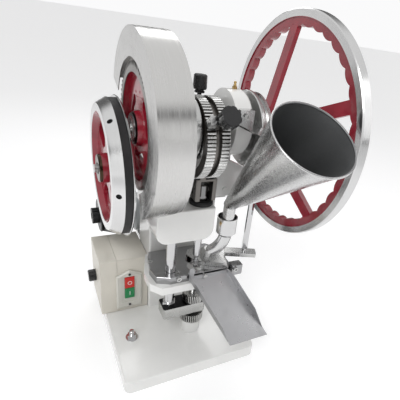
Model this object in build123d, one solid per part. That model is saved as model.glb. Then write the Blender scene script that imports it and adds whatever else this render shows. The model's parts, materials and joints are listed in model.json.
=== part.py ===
from build123d import *
import os
from math import acos, atan2, cos, degrees, hypot, pi, radians, sin, sqrt, tan

# Bench single-punch tablet press. Millimetres, +Z up, +X towards the handwheel.
# The origin is on the punch axis, at the underside of the base.

# ---- fits and clearances ----
RUN = 0.05             # radial clearance of a shaft or rod that moves in its bush
BODY_GAP = 0.5         # gap between faces of pieces that move past each other
SHEET = 1.5            # stainless sheet thickness

# ---- base plate and its levelling screws ----
BASE_X0, BASE_X1 = -182.0, 125.0
BASE_Y0, BASE_Y1 = -112.0, 310.0
BASE_H = 30.0
BASE_CORNER_R = 14.0
LEVEL_INSET_X, LEVEL_INSET_Y = 42.0, 124.0   # left front screw from the left and front edges
LEVEL_R = 6.0
LEVEL_STUD_H = 22.0    # how far a stud stands above the base
NUT_AF, NUT_H = 18.0, 9.0
WASHER_R, WASHER_H = 14.0, 2.5

# ---- frame castings ----
COLUMN_X0, COLUMN_X1 = -77.0, 60.0
COLUMN_Y0, COLUMN_Y1 = 100.0, 195.0
NOSE_X0, NOSE_X1 = -100.0, 21.0
NOSE_Y0 = -30.0
NOSE_Z0, NOSE_Z1 = 302.0, 375.0
NOSE_EDGE_R = 24.0     # rounding of the nose's lower long edges
HEAD_X1 = 63.0         # right side of the head behind the nose
HEAD_STEP_Y = 62.0     # where the head widens behind the nose
REAR_WALL_Y = 150.0    # front of the wall that joins the two bearing pedestals
REAR_WALL_Z = 470.0

# ---- main shaft, its bearings and what it carries ----
SHAFT_Z = 528.0
SHAFT_R = 18.0
BUSH_WALL = 5.0
LEFT_PED_X0, LEFT_PED_X1 = -82.0, -47.0
RIGHT_PED_X0, RIGHT_PED_X1 = 27.0, 63.0
HOUSING_R = 61.0
HOUSING_RISE = 12.0    # housing circle's centre above the shaft
PED_FRONT_Y = 15.0
HOUSING_ROUND = 7.0

GEAR_MODULE = 3.0
BULL_TEETH, PINION_TEETH = 68, 18
GEAR_BACKLASH = 0.5
GEAR_X0, GEAR_X1 = -136.0, -108.0
BULL_WEB_X0, BULL_WEB_X1 = -127.0, -118.0
BULL_RIM_R, BULL_HUB_R = 89.0, 26.0
BULL_HUB_X0 = -139.0
COUNTER_ANGLE = -51.0  # pinion's place around the bull gear, from +Y towards +Z

ECC_X = -9.5           # middle of the eccentric along the shaft
ECC_THROW = 17.0       # crank throw of the eccentric, half the punch stroke
ECC_R = 54.0
ECC_SLEEVE_R = 58.0
RING_R = 75.5          # tip radius of the toothed adjusting rings
RING_HALF = 22.0       # half the width over both rings
GROOVE_HALF = 5.75     # half the gap between the rings
RING_TEETH = 72
RING_TOOTH_H = 3.2
STRAP_R = 68.0
KNOB_LEAN = 146.0      # place round the strap, from +Y towards +Z
KNOB_R, KNOB_T, KNOB_LOBES = 18.5, 17.0, 8
KNOB_X, KNOB_FROM_R = -1.5, 96.5
KNOB_STEM_R = 4.2
LUG_R0, LUG_R1, LUG_HALF = 76.5, 92.0, 8.0   # the clamp lug, clear of the rings' teeth
LUG_X0, LUG_X1 = -31.0, 4.0
OILER_Y, OILER_STEM_R = 30.0, 4.0
OILER_FROM, OILER_TO = 75.2, 106.5           # heights above the eccentric
OILER_CAP_R = 13.0

EJECT_CAM_X0, EJECT_CAM_X1 = -46.0, -33.0
EJECT_CAM_R = 56.0
EJECT_NOSE_R = 30.0    # rounding radius of the lobe's nose
EJECT_LOBE_ANGLE = 20.0
FEED_CAM_X0, FEED_CAM_X1 = 75.0, 98.0
FEED_CAM_R = 72.0
FEED_GROOVE_W, FEED_GROOVE_D = 10.0, 7.0

# ---- handwheel ----
WHEEL_R = 218.7
WHEEL_X0, WHEEL_X1 = 168.0, 188.0
WHEEL_BAND = 14.0      # radial width of the plain outer band
WHEEL_GRIP_IN, WHEEL_GRIP_OUT = 188.0, 193.0
WHEEL_GRIPS = 40
WHEEL_SPOKES = 5
WHEEL_SPOKE_ANGLE = 10.0
SPOKE_W, SPOKE_T = 24.0, 10.0
WHEEL_HUB_X0, WHEEL_HUB_X1 = 104.0, 142.0
WHEEL_HUB_R = 30.0

# ---- gear guard ----
GUARD_R = 155.0
GUARD_X0, GUARD_X1 = -139.5, -83.7
GUARD_HOLE_R = 111.0
GUARD_BACK_HOLE_R = 63.0
GUARD_FROM, GUARD_TO = 22.0, 244.0
GUARD_BACK_TO = 224.0  # where the back ends; the band is cut slanting between the two
GUARD_CLIP_ANGLES = (60, 125, 200)

# ---- belt drive ----
PULLEY_X0, PULLEY_X1 = -180.8, -144.8
PULLEY_FACE_R, PULLEY_RIM_R, PULLEY_LIP_R = 120.5, 132.0, 136.0
PULLEY_INNER_R = 106.0
PULLEY_HUB_R = 27.0
PULLEY_WINDOWS = 5
PULLEY_RIM_HOLES, PULLEY_HOLE_R = 6, 4.5
PULLEY_HOLE_X, PULLEY_HOLE_START = -171.7, 121.6
BELT_TOP, BELT_BOTTOM, BELT_H = 12.0, 8.0, 9.0
BELT_GAP = 0.4
BELT_X = -154.5
COUNTER_R = 12.0
COUNTER_X0, COUNTER_X1 = -192.0, -52.0
COUNTER_FLANGE_R = 34.0
MOTOR_Y, MOTOR_Z = 250.0, 235.0
MOTOR_PULLEY_R = 42.0
MOTOR_R = 50.0
MOTOR_X0, MOTOR_X1 = -74.0, 84.0
MOTOR_SHAFT_R = 9.0

# ---- upper punch train ----
CLEVIS_HALF_X, CLEVIS_HALF_Y = 22.0, 21.0
CLEVIS_Z0, CLEVIS_Z1 = 388.0, 434.0
SLIDE_R = 12.0
SLIDE_SIDE = 1.0       # gap from the slide rod to each cheek
SLIDE_TOP, SLIDE_BOTTOM = 417.0, 296.0
PUNCH_DOWN, PUNCH_UP = 14.0, 34.0   # slide travel below and above rest
PUNCH_SHANK_R, PUNCH_TIP_R = 8.5, 5.0
PUNCH_TIP_Z = 226.0
WRIST_Z = 404.0
WRIST_R = 5.0
BOOT_R, BOOT_H = 24.5, 9.0

# ---- table, die and lower punch train ----
ARM_Z0, ARM_Z1 = 176.0, 198.0
TABLE_T = 17.0
TABLE_FRONT_Y = -27.0
END_BLOCK_X0, END_BLOCK_X1, END_BLOCK_Y = 80.0, 106.0, -31.0
DIE_R, DIE_H = 19.0, 22.0
LIFT_X = -58.0
LIFT_R = 11.0
LIFT_STROKE = 15.0
LIFT_TOP = 425.0
YOKE_Z0, YOKE_Z1 = 410.0, 426.0
FOLLOWER_R, FOLLOWER_W = 8.0, 8.0
FORK_HALF = 7.0
BAR_X0, BAR_X1 = -76.0, 24.0
BAR_HALF_Y = 21.0
BAR_Z0, BAR_Z1 = 94.0, 121.0
LOWER_ROD_R = 10.0
LOWER_ROD_Z0, LOWER_ROD_Z1 = 40.0, 188.0
LOWER_TIP_Z = 205.0
UPPER_GEAR_R, LOWER_GEAR_R = 25.0, 28.0
ADJUST_GEAR_H = 22.0
ADJUST_TEETH = 36
BOSS_R = 22.0
BOSS_TOP = 66.0

# ---- feeder and hopper ----
FEED_PIVOT_X, FEED_PIVOT_Y = 122.0, -2.0
FEED_SWING = 14.5      # degrees, from clear of the die to over it
FEED_ARM_ANGLE = -21.9
HEX_AF = 12.0
HEX_TOP = 446.0
FEED_ARM_W, FEED_ARM_Z0, FEED_ARM_T = 24.0, 225.0, 10.0
COLLAR_X, COLLAR_Y = 67.0, 0.0
COLLAR_R = 22.5
COLLAR_WALL = 1.5
COLLAR_Z0, COLLAR_Z1 = 294.0, 334.0
HORN_R = 14.5
NECK_X, NECK_Y = 65.0, -7.0
NECK_R = 13.2
NECK_Z0, NECK_Z1 = 318.0, 366.0
HOPPER_X, HOPPER_Y, HOPPER_Z = 82.0, -204.0, 571.0
HOPPER_R = 73.0
HOPPER_TILT_X, HOPPER_TILT = 0.02, 32.0
HOPPER_BEAD_R = 2.0
STRAP_RISE, STRAP_T = 9.5, 2.5           # the hopper's flat strap, above the housing's centre
PAD_X0, PAD_X1, PAD_RISE = 30.0, 58.0, 37.0
PAD_SCREW_X, PAD_SCREW_RISE = 42.0, 26.0

# ---- chute ----
CHUTE_X, CHUTE_Y, CHUTE_Z = -25.0, -34.0, 203.0     # rear left corner of the tray
CHUTE_W = 93.0
CHEEK_X0, CHEEK_X1 = -27.0, -16.0       # the clip's cheek beside the table
CHEEK_TOP = 236.0
CHUTE_SCREW_X, TABLE_SCREW_X, END_SCREW_X = 10.0, -48.0, 88.0
CHUTE_SIDEWAYS, CHUTE_REACH, CHUTE_DROP = 53.0, 119.0, 97.0
CHUTE_WALL_H = 22.0
SHOE_SWEEP = 16.0      # how far the swinging shoe reaches over the chute

# ---- switch box ----
BOX_X0, BOX_X1 = -190.0, -78.0
BOX_Y0, BOX_Y1 = 108.0, 232.0
BOX_Z1 = 186.0
BOX_SEAM_X = -151.0
BOX_WALL = 2.0
SWITCH_X, SWITCH_HALF_W = -124.0, 31.0
SWITCH_Z0, SWITCH_EAVE_Z, SWITCH_PEAK_Z = 44.0, 142.0, 156.0
SWITCH_PLATE_T = 8.0
BUTTON_HALF_W = 11.5
BUTTON_SPLIT_Z, BUTTON_H = 107.0, 31.0
BUTTON_OUT, BUTTON_TRAVEL = 4.0, 3.0
SPEED_Y, SPEED_Z = 182.0, 102.0
SPEED_R, SPEED_OUT = 15.0, 18.0

# ---- worked-out places ----
COUNTER_DIST = (BULL_TEETH + PINION_TEETH) * GEAR_MODULE / 2
COUNTER_Y = COUNTER_DIST * cos(radians(COUNTER_ANGLE))
COUNTER_Z = SHAFT_Z + COUNTER_DIST * sin(radians(COUNTER_ANGLE))
ECC_Z = SHAFT_Z - ECC_THROW
OILER_Z0, OILER_Z1 = ECC_Z + OILER_FROM, ECC_Z + OILER_TO
HOUSING_Z = SHAFT_Z + HOUSING_RISE
STRAP_Z, PAD_TOP, PAD_SCREW_Z = HOUSING_Z + STRAP_RISE, HOUSING_Z + PAD_RISE, HOUSING_Z + PAD_SCREW_RISE
TABLE_Z = ARM_Z1 + TABLE_T
BELT_R = PULLEY_RIM_R - 1.0        # outer face of the belt on the big pulley
MIN3 = (Align.MIN, Align.MIN, Align.MIN)
STAND = (Align.CENTER, Align.CENTER, Align.MIN)


def block(x0, x1, y0, y1, z0, z1):
    """A box between two corners."""
    return Pos(x0, y0, z0) * Box(x1 - x0, y1 - y0, z1 - z0, align=MIN3)


def rod_x(radius, x0, x1, y=0.0, z=0.0):
    return Pos(x0, y, z) * Rot(0, 90, 0) * Cylinder(radius, x1 - x0, align=STAND)


def rod_y(radius, y0, y1, x=0.0, z=0.0):
    return Pos(x, y0, z) * Rot(-90, 0, 0) * Cylinder(radius, y1 - y0, align=STAND)


def rod_z(radius, z0, z1, x=0.0, y=0.0):
    return Pos(x, y, z0) * Cylinder(radius, z1 - z0, align=STAND)


def tube_x(outer, inner, x0, x1, y=0.0, z=0.0):
    return rod_x(outer, x0, x1, y, z) - rod_x(inner, x0 - 1, x1 + 1, y, z)


def tube_z(outer, inner, z0, z1, x=0.0, y=0.0):
    return rod_z(outer, z0, z1, x, y) - rod_z(inner, z0 - 1, z1 + 1, x, y)


def hex_z(across_flats, z0, z1, x=0.0, y=0.0, turn=0.0):
    """A hexagonal bar standing along Z."""
    outline = RegularPolygon(across_flats / sqrt(3), 6, rotation=turn)
    return Pos(x, y, z0) * extrude(outline, z1 - z0)


def hex_x(across_flats, x0, x1, y=0.0, z=0.0):
    """A hexagonal bar lying along X."""
    outline = RegularPolygon(across_flats / sqrt(3), 6)
    return Pos(x0, y, z) * Rot(0, 90, 0) * extrude(outline, x1 - x0)


def slab(outline, z0, z1):
    """A flat outline of (x, y) points, raised from z0 to z1."""
    return Pos(0, 0, z0) * extrude(make_face(Polyline(*outline, close=True)), z1 - z0)


def side_plate(outline, x0, x1):
    """An outline of (y, z) points, drawn out along X."""
    face = make_face(Polyline(*[(x0, y, z) for y, z in outline], close=True))
    return extrude(face, x1 - x0, dir=(1, 0, 0))


def front_plate(outline, y0, y1):
    """An outline of (x, z) points, drawn out along Y."""
    face = make_face(Polyline(*[(x, y0, z) for x, z in outline], close=True))
    return extrude(face, y1 - y0, dir=(0, 1, 0))


def turned_x(profile, y=0.0, z=0.0):
    """An (x, radius) outline turned about an axis along X."""
    return Pos(0, y, z) * revolve(make_face(Polyline(*profile, close=True)), Axis.X)


def turned_z(profile, x=0.0, y=0.0):
    """A (radius, z) outline turned about an axis along Z."""
    face = make_face(Polyline(*[(r, 0, z) for r, z in profile], close=True))
    return Pos(x, y, 0) * revolve(face, Axis.Z)


def polar(radius, angle, y=0.0, z=0.0):
    """The (y, z) point at a radius and an angle from +Y towards +Z."""
    return y + radius * cos(radians(angle)), z + radius * sin(radians(angle))


def save(node, *solids):
    """Write one node's solids, as one shape or as a group."""
    shapes = [s for piece in solids for s in piece.solids()]
    shape = shapes[0] if len(shapes) == 1 else Compound(children=shapes)
    shape.label = node
    export_step(shape, f"parts/{node}.step")


def involute(angle):
    return tan(angle) - angle


def spur_outline(teeth, module, backlash):
    """Corner points of an involute spur gear, centred on a gap at angle 0."""
    pitch_r = teeth * module / 2
    base_r = pitch_r * cos(radians(20))
    root_r, tip_r = pitch_r - 1.25 * module, pitch_r + module
    half_pitch = pi / (2 * teeth) - backlash / (2 * pitch_r)
    flank = []
    for step in range(5):
        radius = max(root_r, base_r) + (tip_r - max(root_r, base_r)) * step / 4
        pressure = acos(min(1.0, base_r / radius))
        flank.append((radius, half_pitch + involute(radians(20)) - involute(pressure)))
    if base_r > root_r:
        flank.insert(0, (root_r, flank[0][1]))
    points = []
    for tooth in range(teeth):
        middle = (tooth + 0.5) * 2 * pi / teeth
        rising = [(r, middle - half) for r, half in flank]
        falling = [(r, middle + half) for r, half in reversed(flank)]
        points += [(r * cos(a), r * sin(a)) for r, a in rising + falling]
    return points


def spur_gear(teeth, module, backlash, x0, x1, y, z, turn):
    """An involute gear along X, with a gap centre at the turn angle."""
    face = make_face(Polyline(*spur_outline(teeth, module, backlash), close=True))
    upright = Rot(90, 0, 0) * Rot(0, 90, 0)
    return Pos(x0, y, z) * Rot(turn, 0, 0) * upright * extrude(face, x1 - x0)


def toothed_disc(teeth, tip_r, depth, land=0.42):
    """A disc outline with plain straight-sided teeth, for gripping and turning."""
    points = []
    for tooth in range(teeth):
        for part, radius in ((0, tip_r - depth), (0.5 - land, tip_r - depth), (0.5, tip_r), (0.5 + land, tip_r)):
            angle = 2 * pi * (tooth + part) / teeth
            points.append((radius * cos(angle), radius * sin(angle)))
    return points


def toothed_x(outline, x0, x1, y, z):
    face = make_face(Polyline(*outline, close=True))
    return Pos(x0, y, z) * Rot(0, 90, 0) * extrude(face, x1 - x0)


def windows_x(count, start, inner, outer, web, x0, x1, y, z, round_r=6.0):
    """Cutters for round-cornered windows between spokes of equal width."""
    cutters = []
    for index in range(count):
        ring = tube_x(outer, inner, x0, x1)
        for side in (-1, 1):
            middle = start + (index + side / 2) * 360 / count
            spoke = Rot(middle, 0, 0) * block(x0 - 1, x1 + 1, 0, outer + 5, -web / 2, web / 2)
            ring = ring - spoke
        keep = Rot(start + index * 360 / count, 0, 0)
        wedge_r = outer + 5
        half = pi / count
        wedge = side_plate([(0, 0), (wedge_r * cos(half) * 1.3, -wedge_r * sin(half) * 1.3),
                            (wedge_r * cos(half) * 1.3, wedge_r * sin(half) * 1.3)], x0, x1)
        window = ring & (keep * wedge)
        corners = window.edges().filter_by(Axis.X)
        cutters.append(Pos(0, y, z) * fillet(corners, round_r))
    return cutters


# ---------------------------------------------------------------- frame
def base_plate():
    plate = block(BASE_X0, BASE_X1, BASE_Y0, BASE_Y1, 0, BASE_H)
    plate = fillet(plate.edges().filter_by(Axis.Z), BASE_CORNER_R)
    plate = fillet(plate.faces().sort_by(Axis.Z)[-1].edges(), 3)
    boss = rod_z(BOSS_R, BASE_H - 1, BOSS_TOP)
    boss = fillet(boss.faces().sort_by(Axis.Z)[-1].edges(), 2)
    plate = plate + boss
    plate -= rod_z(LOWER_ROD_R + RUN, LOWER_ROD_Z0 - BODY_GAP, BOSS_TOP + 1)
    for x, y in level_places():
        plate -= rod_z(LEVEL_R, 1, BASE_H + 1, x, y)
    save("base_plate", plate)


def level_places():
    left, right = BASE_X0 + LEVEL_INSET_X, BASE_X1 - LEVEL_INSET_X / 1.4
    front, back = BASE_Y0 + LEVEL_INSET_Y, BASE_Y1 - LEVEL_INSET_Y / 4
    return [(left, front), (right, front), (left, back), (right, back)]


def levelling_screws():
    pieces = []
    for x, y in level_places():
        pieces.append(chamfer(rod_z(LEVEL_R, 1, BASE_H + LEVEL_STUD_H, x, y).edges().sort_by(Axis.Z)[-1:], 1.2))
        washer = tube_z(WASHER_R, LEVEL_R, BASE_H, BASE_H + WASHER_H, x, y)
        nut_z = BASE_H + WASHER_H
        nut = hex_z(NUT_AF, nut_z, nut_z + NUT_H, x, y, 15) - rod_z(LEVEL_R, nut_z - 1, nut_z + NUT_H + 1, x, y)
        pieces += [washer, nut]
    save("levelling_screws", *pieces)


def column():
    body = block(COLUMN_X0, COLUMN_X1, COLUMN_Y0, COLUMN_Y1, BASE_H, NOSE_Z0)
    body = fillet(body.edges().filter_by(Axis.Z), 5)
    save("column", body)


def table_arm():
    """The cast shelf under the die table, with a rib back to the column."""
    outline = [(-87, COLUMN_Y0), (-108, 30), (-106, -12), (-86, -36), (56, -36), (84, -20), (84, 60), (60, COLUMN_Y0)]
    shelf = slab(outline, ARM_Z0, ARM_Z1)
    shelf = fillet(shelf.edges().filter_by(Axis.Z), 6)
    shelf = fillet(shelf.faces().sort_by(Axis.Z)[0].edges(), 5)
    rib_outline = [(40, ARM_Z0 + 1), (COLUMN_Y0, ARM_Z0 + 1), (COLUMN_Y0, 110), (66, 150)]
    shelf += side_plate(rib_outline, COLUMN_X0 + 14, COLUMN_X1 - 14)
    shelf -= rod_z(LOWER_ROD_R + RUN, ARM_Z0 - 1, ARM_Z1 + 1)
    shelf -= rod_z(DIE_R, TABLE_Z - DIE_H, ARM_Z1 + 1)
    shelf -= rod_z(LIFT_R + BUSH_WALL / 2, ARM_Z0 - 1, ARM_Z1 + 1, LIFT_X)
    for x, y in table_screw_places():
        shelf -= rod_z(3, ARM_Z1 - 12, ARM_Z1 + 1, x, y)
    save("table_arm", shelf)


def head_casting():
    """The head over the throat: a rounded nose, widening behind it to the column."""
    nose = block(NOSE_X0, NOSE_X1, NOSE_Y0, HEAD_STEP_Y + 1, NOSE_Z0, NOSE_Z1)
    lower = nose.edges().filter_by(Axis.Y).sort_by(Axis.Z)[:2]
    nose = fillet(lower, NOSE_EDGE_R)
    nose = fillet(nose.faces().sort_by(Axis.Y)[0].edges(), 3)
    rear = block(LEFT_PED_X0, HEAD_X1, HEAD_STEP_Y, COLUMN_Y1, NOSE_Z0, NOSE_Z1)
    wall = block(LEFT_PED_X1, RIGHT_PED_X0, REAR_WALL_Y, COLUMN_Y1, NOSE_Z1 - 1, REAR_WALL_Z)
    head = nose + rear + wall
    head -= rod_z(SLIDE_R + BUSH_WALL, NOSE_Z0 - 1, NOSE_Z1 + 1)
    head -= rod_z(LIFT_R + BUSH_WALL / 2, NOSE_Z0 - 1, NOSE_Z1 + 1, LIFT_X)
    save("head_casting", head)


def bearing_housing(node, x0, x1, open_end):
    """A pedestal bearing: a round housing standing on a sloping web."""
    pedestal = side_plate([(PED_FRONT_Y, NOSE_Z1), (COLUMN_Y1 - 5, NOSE_Z1), (COLUMN_Y1 - 5, REAR_WALL_Z - 10),
                           (52, HOUSING_Z + 31), (PED_FRONT_Y, HOUSING_Z)], x0, x1)
    housing = rod_x(HOUSING_R, x0, x1, 0, HOUSING_Z)
    end = housing.faces().sort_by(Axis.X)[-1 if open_end > 0 else 0]
    housing = fillet(end.edges(), HOUSING_ROUND)
    body = pedestal + housing
    body -= rod_x(SHAFT_R + BUSH_WALL, x0 - 1, x1 + 1, 0, SHAFT_Z)
    if open_end < 0:
        body -= rod_x(COUNTER_R + BUSH_WALL, x0 - 1, x1 + 1, COUNTER_Y, COUNTER_Z)
        body -= rod_z(LIFT_R + 4, NOSE_Z1 - 1, LIFT_TOP + LIFT_STROKE + 6, LIFT_X)
    save(node, body)


def shaft_bushes():
    """Bronze bushes of the main shaft and the countershaft, with the shaft bores."""
    places = [(SHAFT_R, LEFT_PED_X0, LEFT_PED_X1, 0, SHAFT_Z), (SHAFT_R, RIGHT_PED_X0, RIGHT_PED_X1, 0, SHAFT_Z),
              (COUNTER_R, LEFT_PED_X0, LEFT_PED_X1, COUNTER_Y, COUNTER_Z)]
    save("shaft_bushes", *[tube_x(r + BUSH_WALL, r + RUN, x0, x1, y, z) for r, x0, x1, y, z in places])


def guide_bushes():
    """Guides of the slide rod and of the lifting rod."""
    slide = tube_z(SLIDE_R + BUSH_WALL, SLIDE_R + RUN, NOSE_Z0, NOSE_Z1)
    upper = tube_z(LIFT_R + BUSH_WALL / 2, LIFT_R + RUN, NOSE_Z0, NOSE_Z1, LIFT_X)
    lower = tube_z(LIFT_R + BUSH_WALL / 2, LIFT_R + RUN, ARM_Z0, ARM_Z1, LIFT_X)
    save("guide_bushes", slide, upper, lower)


def dust_boot():
    """The wiper ring where the slide rod enters the nose."""
    ring = turned_z([(SLIDE_R + BODY_GAP, NOSE_Z1), (BOOT_R, NOSE_Z1), (BOOT_R, NOSE_Z1 + BOOT_H - 3),
                     (BOOT_R - 2.5, NOSE_Z1 + BOOT_H), (SLIDE_R + BODY_GAP, NOSE_Z1 + BOOT_H)])
    save("dust_boot", ring)


def countershaft_flange():
    """The bolted flange that holds the countershaft bush, with its three screws."""
    flange = turned_x([(LEFT_PED_X0 - 8, COUNTER_R + 1), (LEFT_PED_X0 - 8, COUNTER_FLANGE_R - 2),
                       (LEFT_PED_X0 - 6, COUNTER_FLANGE_R), (LEFT_PED_X0, COUNTER_FLANGE_R),
                       (LEFT_PED_X0, COUNTER_R + 1)], COUNTER_Y, COUNTER_Z)
    screws = []
    for index in range(3):
        y, z = polar(COUNTER_FLANGE_R - 8, 90 + index * 120, COUNTER_Y, COUNTER_Z)
        screws.append(hex_x(8, LEFT_PED_X0 - 12, LEFT_PED_X0 - 8, y, z))
    save("countershaft_flange", flange, *screws)


def feeder_bracket():
    """The arm on the right pedestal that carries the feeder's upright shaft."""
    plate = front_plate([(27, 384), (27, 468), (34, 472), (97, 444), (107, 431), (122, 431), (122, 400), (90, 384)],
                        PED_FRONT_Y - 12, PED_FRONT_Y)
    boss = rod_z(14, 400, 431, FEED_PIVOT_X, FEED_PIVOT_Y)
    link = block(108, 132, FEED_PIVOT_Y, PED_FRONT_Y, 400, 431)
    body = plate + link + boss
    body -= rod_z(HEX_AF / sqrt(3) + RUN, 390, 440, FEED_PIVOT_X, FEED_PIVOT_Y)
    heads = []
    for x, z in ((40, 452), (52, 400)):
        heads.append(rod_y(5, PED_FRONT_Y - 16, PED_FRONT_Y - 12, x, z))
    save("feeder_bracket", body, *heads)


def grease_nipple():
    x, z0 = 46.0, HOUSING_Z + HOUSING_R - 1
    hexagon = hex_z(9, z0, z0 + 5, x)
    stem = turned_z([(0, z0 + 5), (3, z0 + 5), (3, z0 + 8), (1.8, z0 + 9.5), (2.8, z0 + 11),
                     (2.8, z0 + 12.5), (1.5, z0 + 14), (0, z0 + 14)], x)
    save("grease_nipple", hexagon + stem - rod_x(HOUSING_R, x - 10, x + 10, 0, HOUSING_Z))


# ---------------------------------------------------------------- guard and belt drive
def guard_sector(outer, inner, x0, x1, first=GUARD_FROM, last=GUARD_TO):
    """A ring sector about the main shaft."""
    face = make_face([
        Line((x0, *polar(inner, first, 0, SHAFT_Z)), (x0, *polar(outer, first, 0, SHAFT_Z))),
        ThreePointArc((x0, *polar(outer, first, 0, SHAFT_Z)), (x0, *polar(outer, (first + last) / 2, 0, SHAFT_Z)),
                      (x0, *polar(outer, last, 0, SHAFT_Z))),
        Line((x0, *polar(outer, last, 0, SHAFT_Z)), (x0, *polar(inner, last, 0, SHAFT_Z))),
        ThreePointArc((x0, *polar(inner, last, 0, SHAFT_Z)), (x0, *polar(inner, (first + last) / 2, 0, SHAFT_Z)),
                      (x0, *polar(inner, first, 0, SHAFT_Z)))])
    return extrude(face, x1 - x0, dir=(1, 0, 0))


def gear_guard():
    wall = GUARD_X0 + SHEET
    guard = guard_sector(GUARD_R, GUARD_R - SHEET, GUARD_X0, GUARD_X1)
    guard += guard_sector(GUARD_R, GUARD_HOLE_R, GUARD_X0, wall)
    guard += guard_sector(GUARD_R, GUARD_BACK_HOLE_R, GUARD_X1 - SHEET, GUARD_X1)
    rise = GUARD_R * sin(radians(GUARD_TO - GUARD_BACK_TO))
    slant = [(GUARD_X1 + 1, 0), (GUARD_X1 + 1, 2 * rise), (GUARD_X0 - 1, 2 * rise), (GUARD_X0 - 1, rise)]
    cutter = front_plate(slant, GUARD_BACK_HOLE_R / 2, GUARD_R + 10)
    guard -= Pos(0, 0, SHAFT_Z) * Rot(GUARD_BACK_TO, 0, 0) * cutter
    save("gear_guard", guard)


def cover_screws():
    """Clips and screws of the guard on the left bearing housing, and the screws of the switch frame."""
    pieces = []
    for angle in GUARD_CLIP_ANGLES:
        turn = Pos(0, 0, SHAFT_Z) * Rot(angle, 0, 0)
        clip = block(GUARD_X1, GUARD_X1 + SHEET, 44, GUARD_BACK_HOLE_R + 14, -8, 8)
        head = rod_x(5, GUARD_X1 - 5.5, GUARD_X1 - SHEET, GUARD_BACK_HOLE_R + 8)
        pieces.append(turn * clip)
        pieces.append(turn * head)
    for z in (SWITCH_Z0 + 10, SWITCH_EAVE_Z + 4):
        pieces.append(rod_y(3, BOX_Y0 - SWITCH_PLATE_T - 1.2, BOX_Y0 - SWITCH_PLATE_T, SWITCH_X, z))
    save("cover_screws", *pieces)


def belt_pulley():
    """The flywheel pulley: tapered rim with one V groove, dished web and windows."""
    groove_left, groove_right = BELT_X - BELT_TOP / 2 - BELT_GAP, BELT_X + BELT_TOP / 2 + BELT_GAP
    taper = (BELT_TOP - BELT_BOTTOM) / 2 * (BELT_H + 1.5) / BELT_H
    groove_r = BELT_R - BELT_H - 1.5
    web_x0, web_x1 = PULLEY_X0 + 12, PULLEY_X0 + 20
    profile = [
        (PULLEY_X0, PULLEY_INNER_R), (PULLEY_X0, PULLEY_FACE_R), (PULLEY_X0 + 3, PULLEY_FACE_R + 2),
        (groove_left - 1, PULLEY_RIM_R), (groove_left, BELT_R),
        (groove_left + taper, groove_r), (groove_right - taper, groove_r), (groove_right, BELT_R),
        (groove_right, PULLEY_LIP_R - 1),
        (groove_right + 1, PULLEY_LIP_R), (PULLEY_X1, PULLEY_LIP_R - 1), (PULLEY_X1, PULLEY_INNER_R + 4),
        (web_x1, PULLEY_INNER_R - 4), (web_x1, PULLEY_HUB_R + 4), (PULLEY_X1, PULLEY_HUB_R), (PULLEY_X1, COUNTER_R),
        (PULLEY_X0 - 5, COUNTER_R), (PULLEY_X0 - 5, PULLEY_HUB_R - 2), (PULLEY_X0 - 3, PULLEY_HUB_R),
        (web_x0, PULLEY_HUB_R + 2), (web_x0, PULLEY_INNER_R - 6)]
    pulley = turned_x(profile, COUNTER_Y, COUNTER_Z)
    for cutter in windows_x(PULLEY_WINDOWS, 62, 40, 90, 26, web_x0 - 4, web_x1 + 4, COUNTER_Y, COUNTER_Z):
        pulley -= cutter
    for index in range(PULLEY_RIM_HOLES):
        angle = PULLEY_HOLE_START + index * 360 / PULLEY_RIM_HOLES
        hole = Rot(angle, 0, 0) * rod_y(PULLEY_HOLE_R, PULLEY_INNER_R + 8, PULLEY_LIP_R + 5, PULLEY_HOLE_X)
        pulley -= Pos(0, COUNTER_Y, COUNTER_Z) * hole
    save("belt_pulley", pulley)


def belt_path(radius_big, radius_small, x):
    """The belt's closed line: two straight runs and two arcs, in the plane at x."""
    across, up = MOTOR_Y - COUNTER_Y, MOTOR_Z - COUNTER_Z
    span, lean = hypot(across, up), degrees(atan2(up, across))
    open_angle = degrees(acos((radius_big - radius_small) / span))
    a0, a1 = lean + open_angle, lean - open_angle
    big = [(x, *polar(radius_big, a, COUNTER_Y, COUNTER_Z)) for a in (a0, lean + 180, a1)]
    small = [(x, *polar(radius_small, a, MOTOR_Y, MOTOR_Z)) for a in (a1, lean, a0)]
    return [ThreePointArc(*big), Line(big[2], small[0]), ThreePointArc(*small), Line(small[2], big[0])]


def belt_core(outer_half, inner_half, deep):
    """The space inside the belt, widening towards the belt's outer face."""
    big, small = BELT_R - deep, MOTOR_PULLEY_R - 1.0 - deep
    low_wide = make_face(belt_path(big, small, BELT_X - inner_half))
    core = extrude(low_wide, 2 * inner_half, dir=(1, 0, 0))
    for side in (-1, 1):
        narrow = make_face(belt_path(big, small, BELT_X + side * inner_half))
        wide = make_face(belt_path(big + deep, small + deep, BELT_X + side * outer_half))
        core += loft([narrow, wide], ruled=True)
    return core


def v_belt():
    """The closed V belt in both pulleys' grooves."""
    half = BELT_TOP / 2
    outline = make_face(belt_path(BELT_R, MOTOR_PULLEY_R - 1.0, BELT_X - half))
    band = extrude(outline, 2 * half, dir=(1, 0, 0))
    save("v_belt", band - belt_core(half, BELT_BOTTOM / 2, BELT_H))


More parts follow.
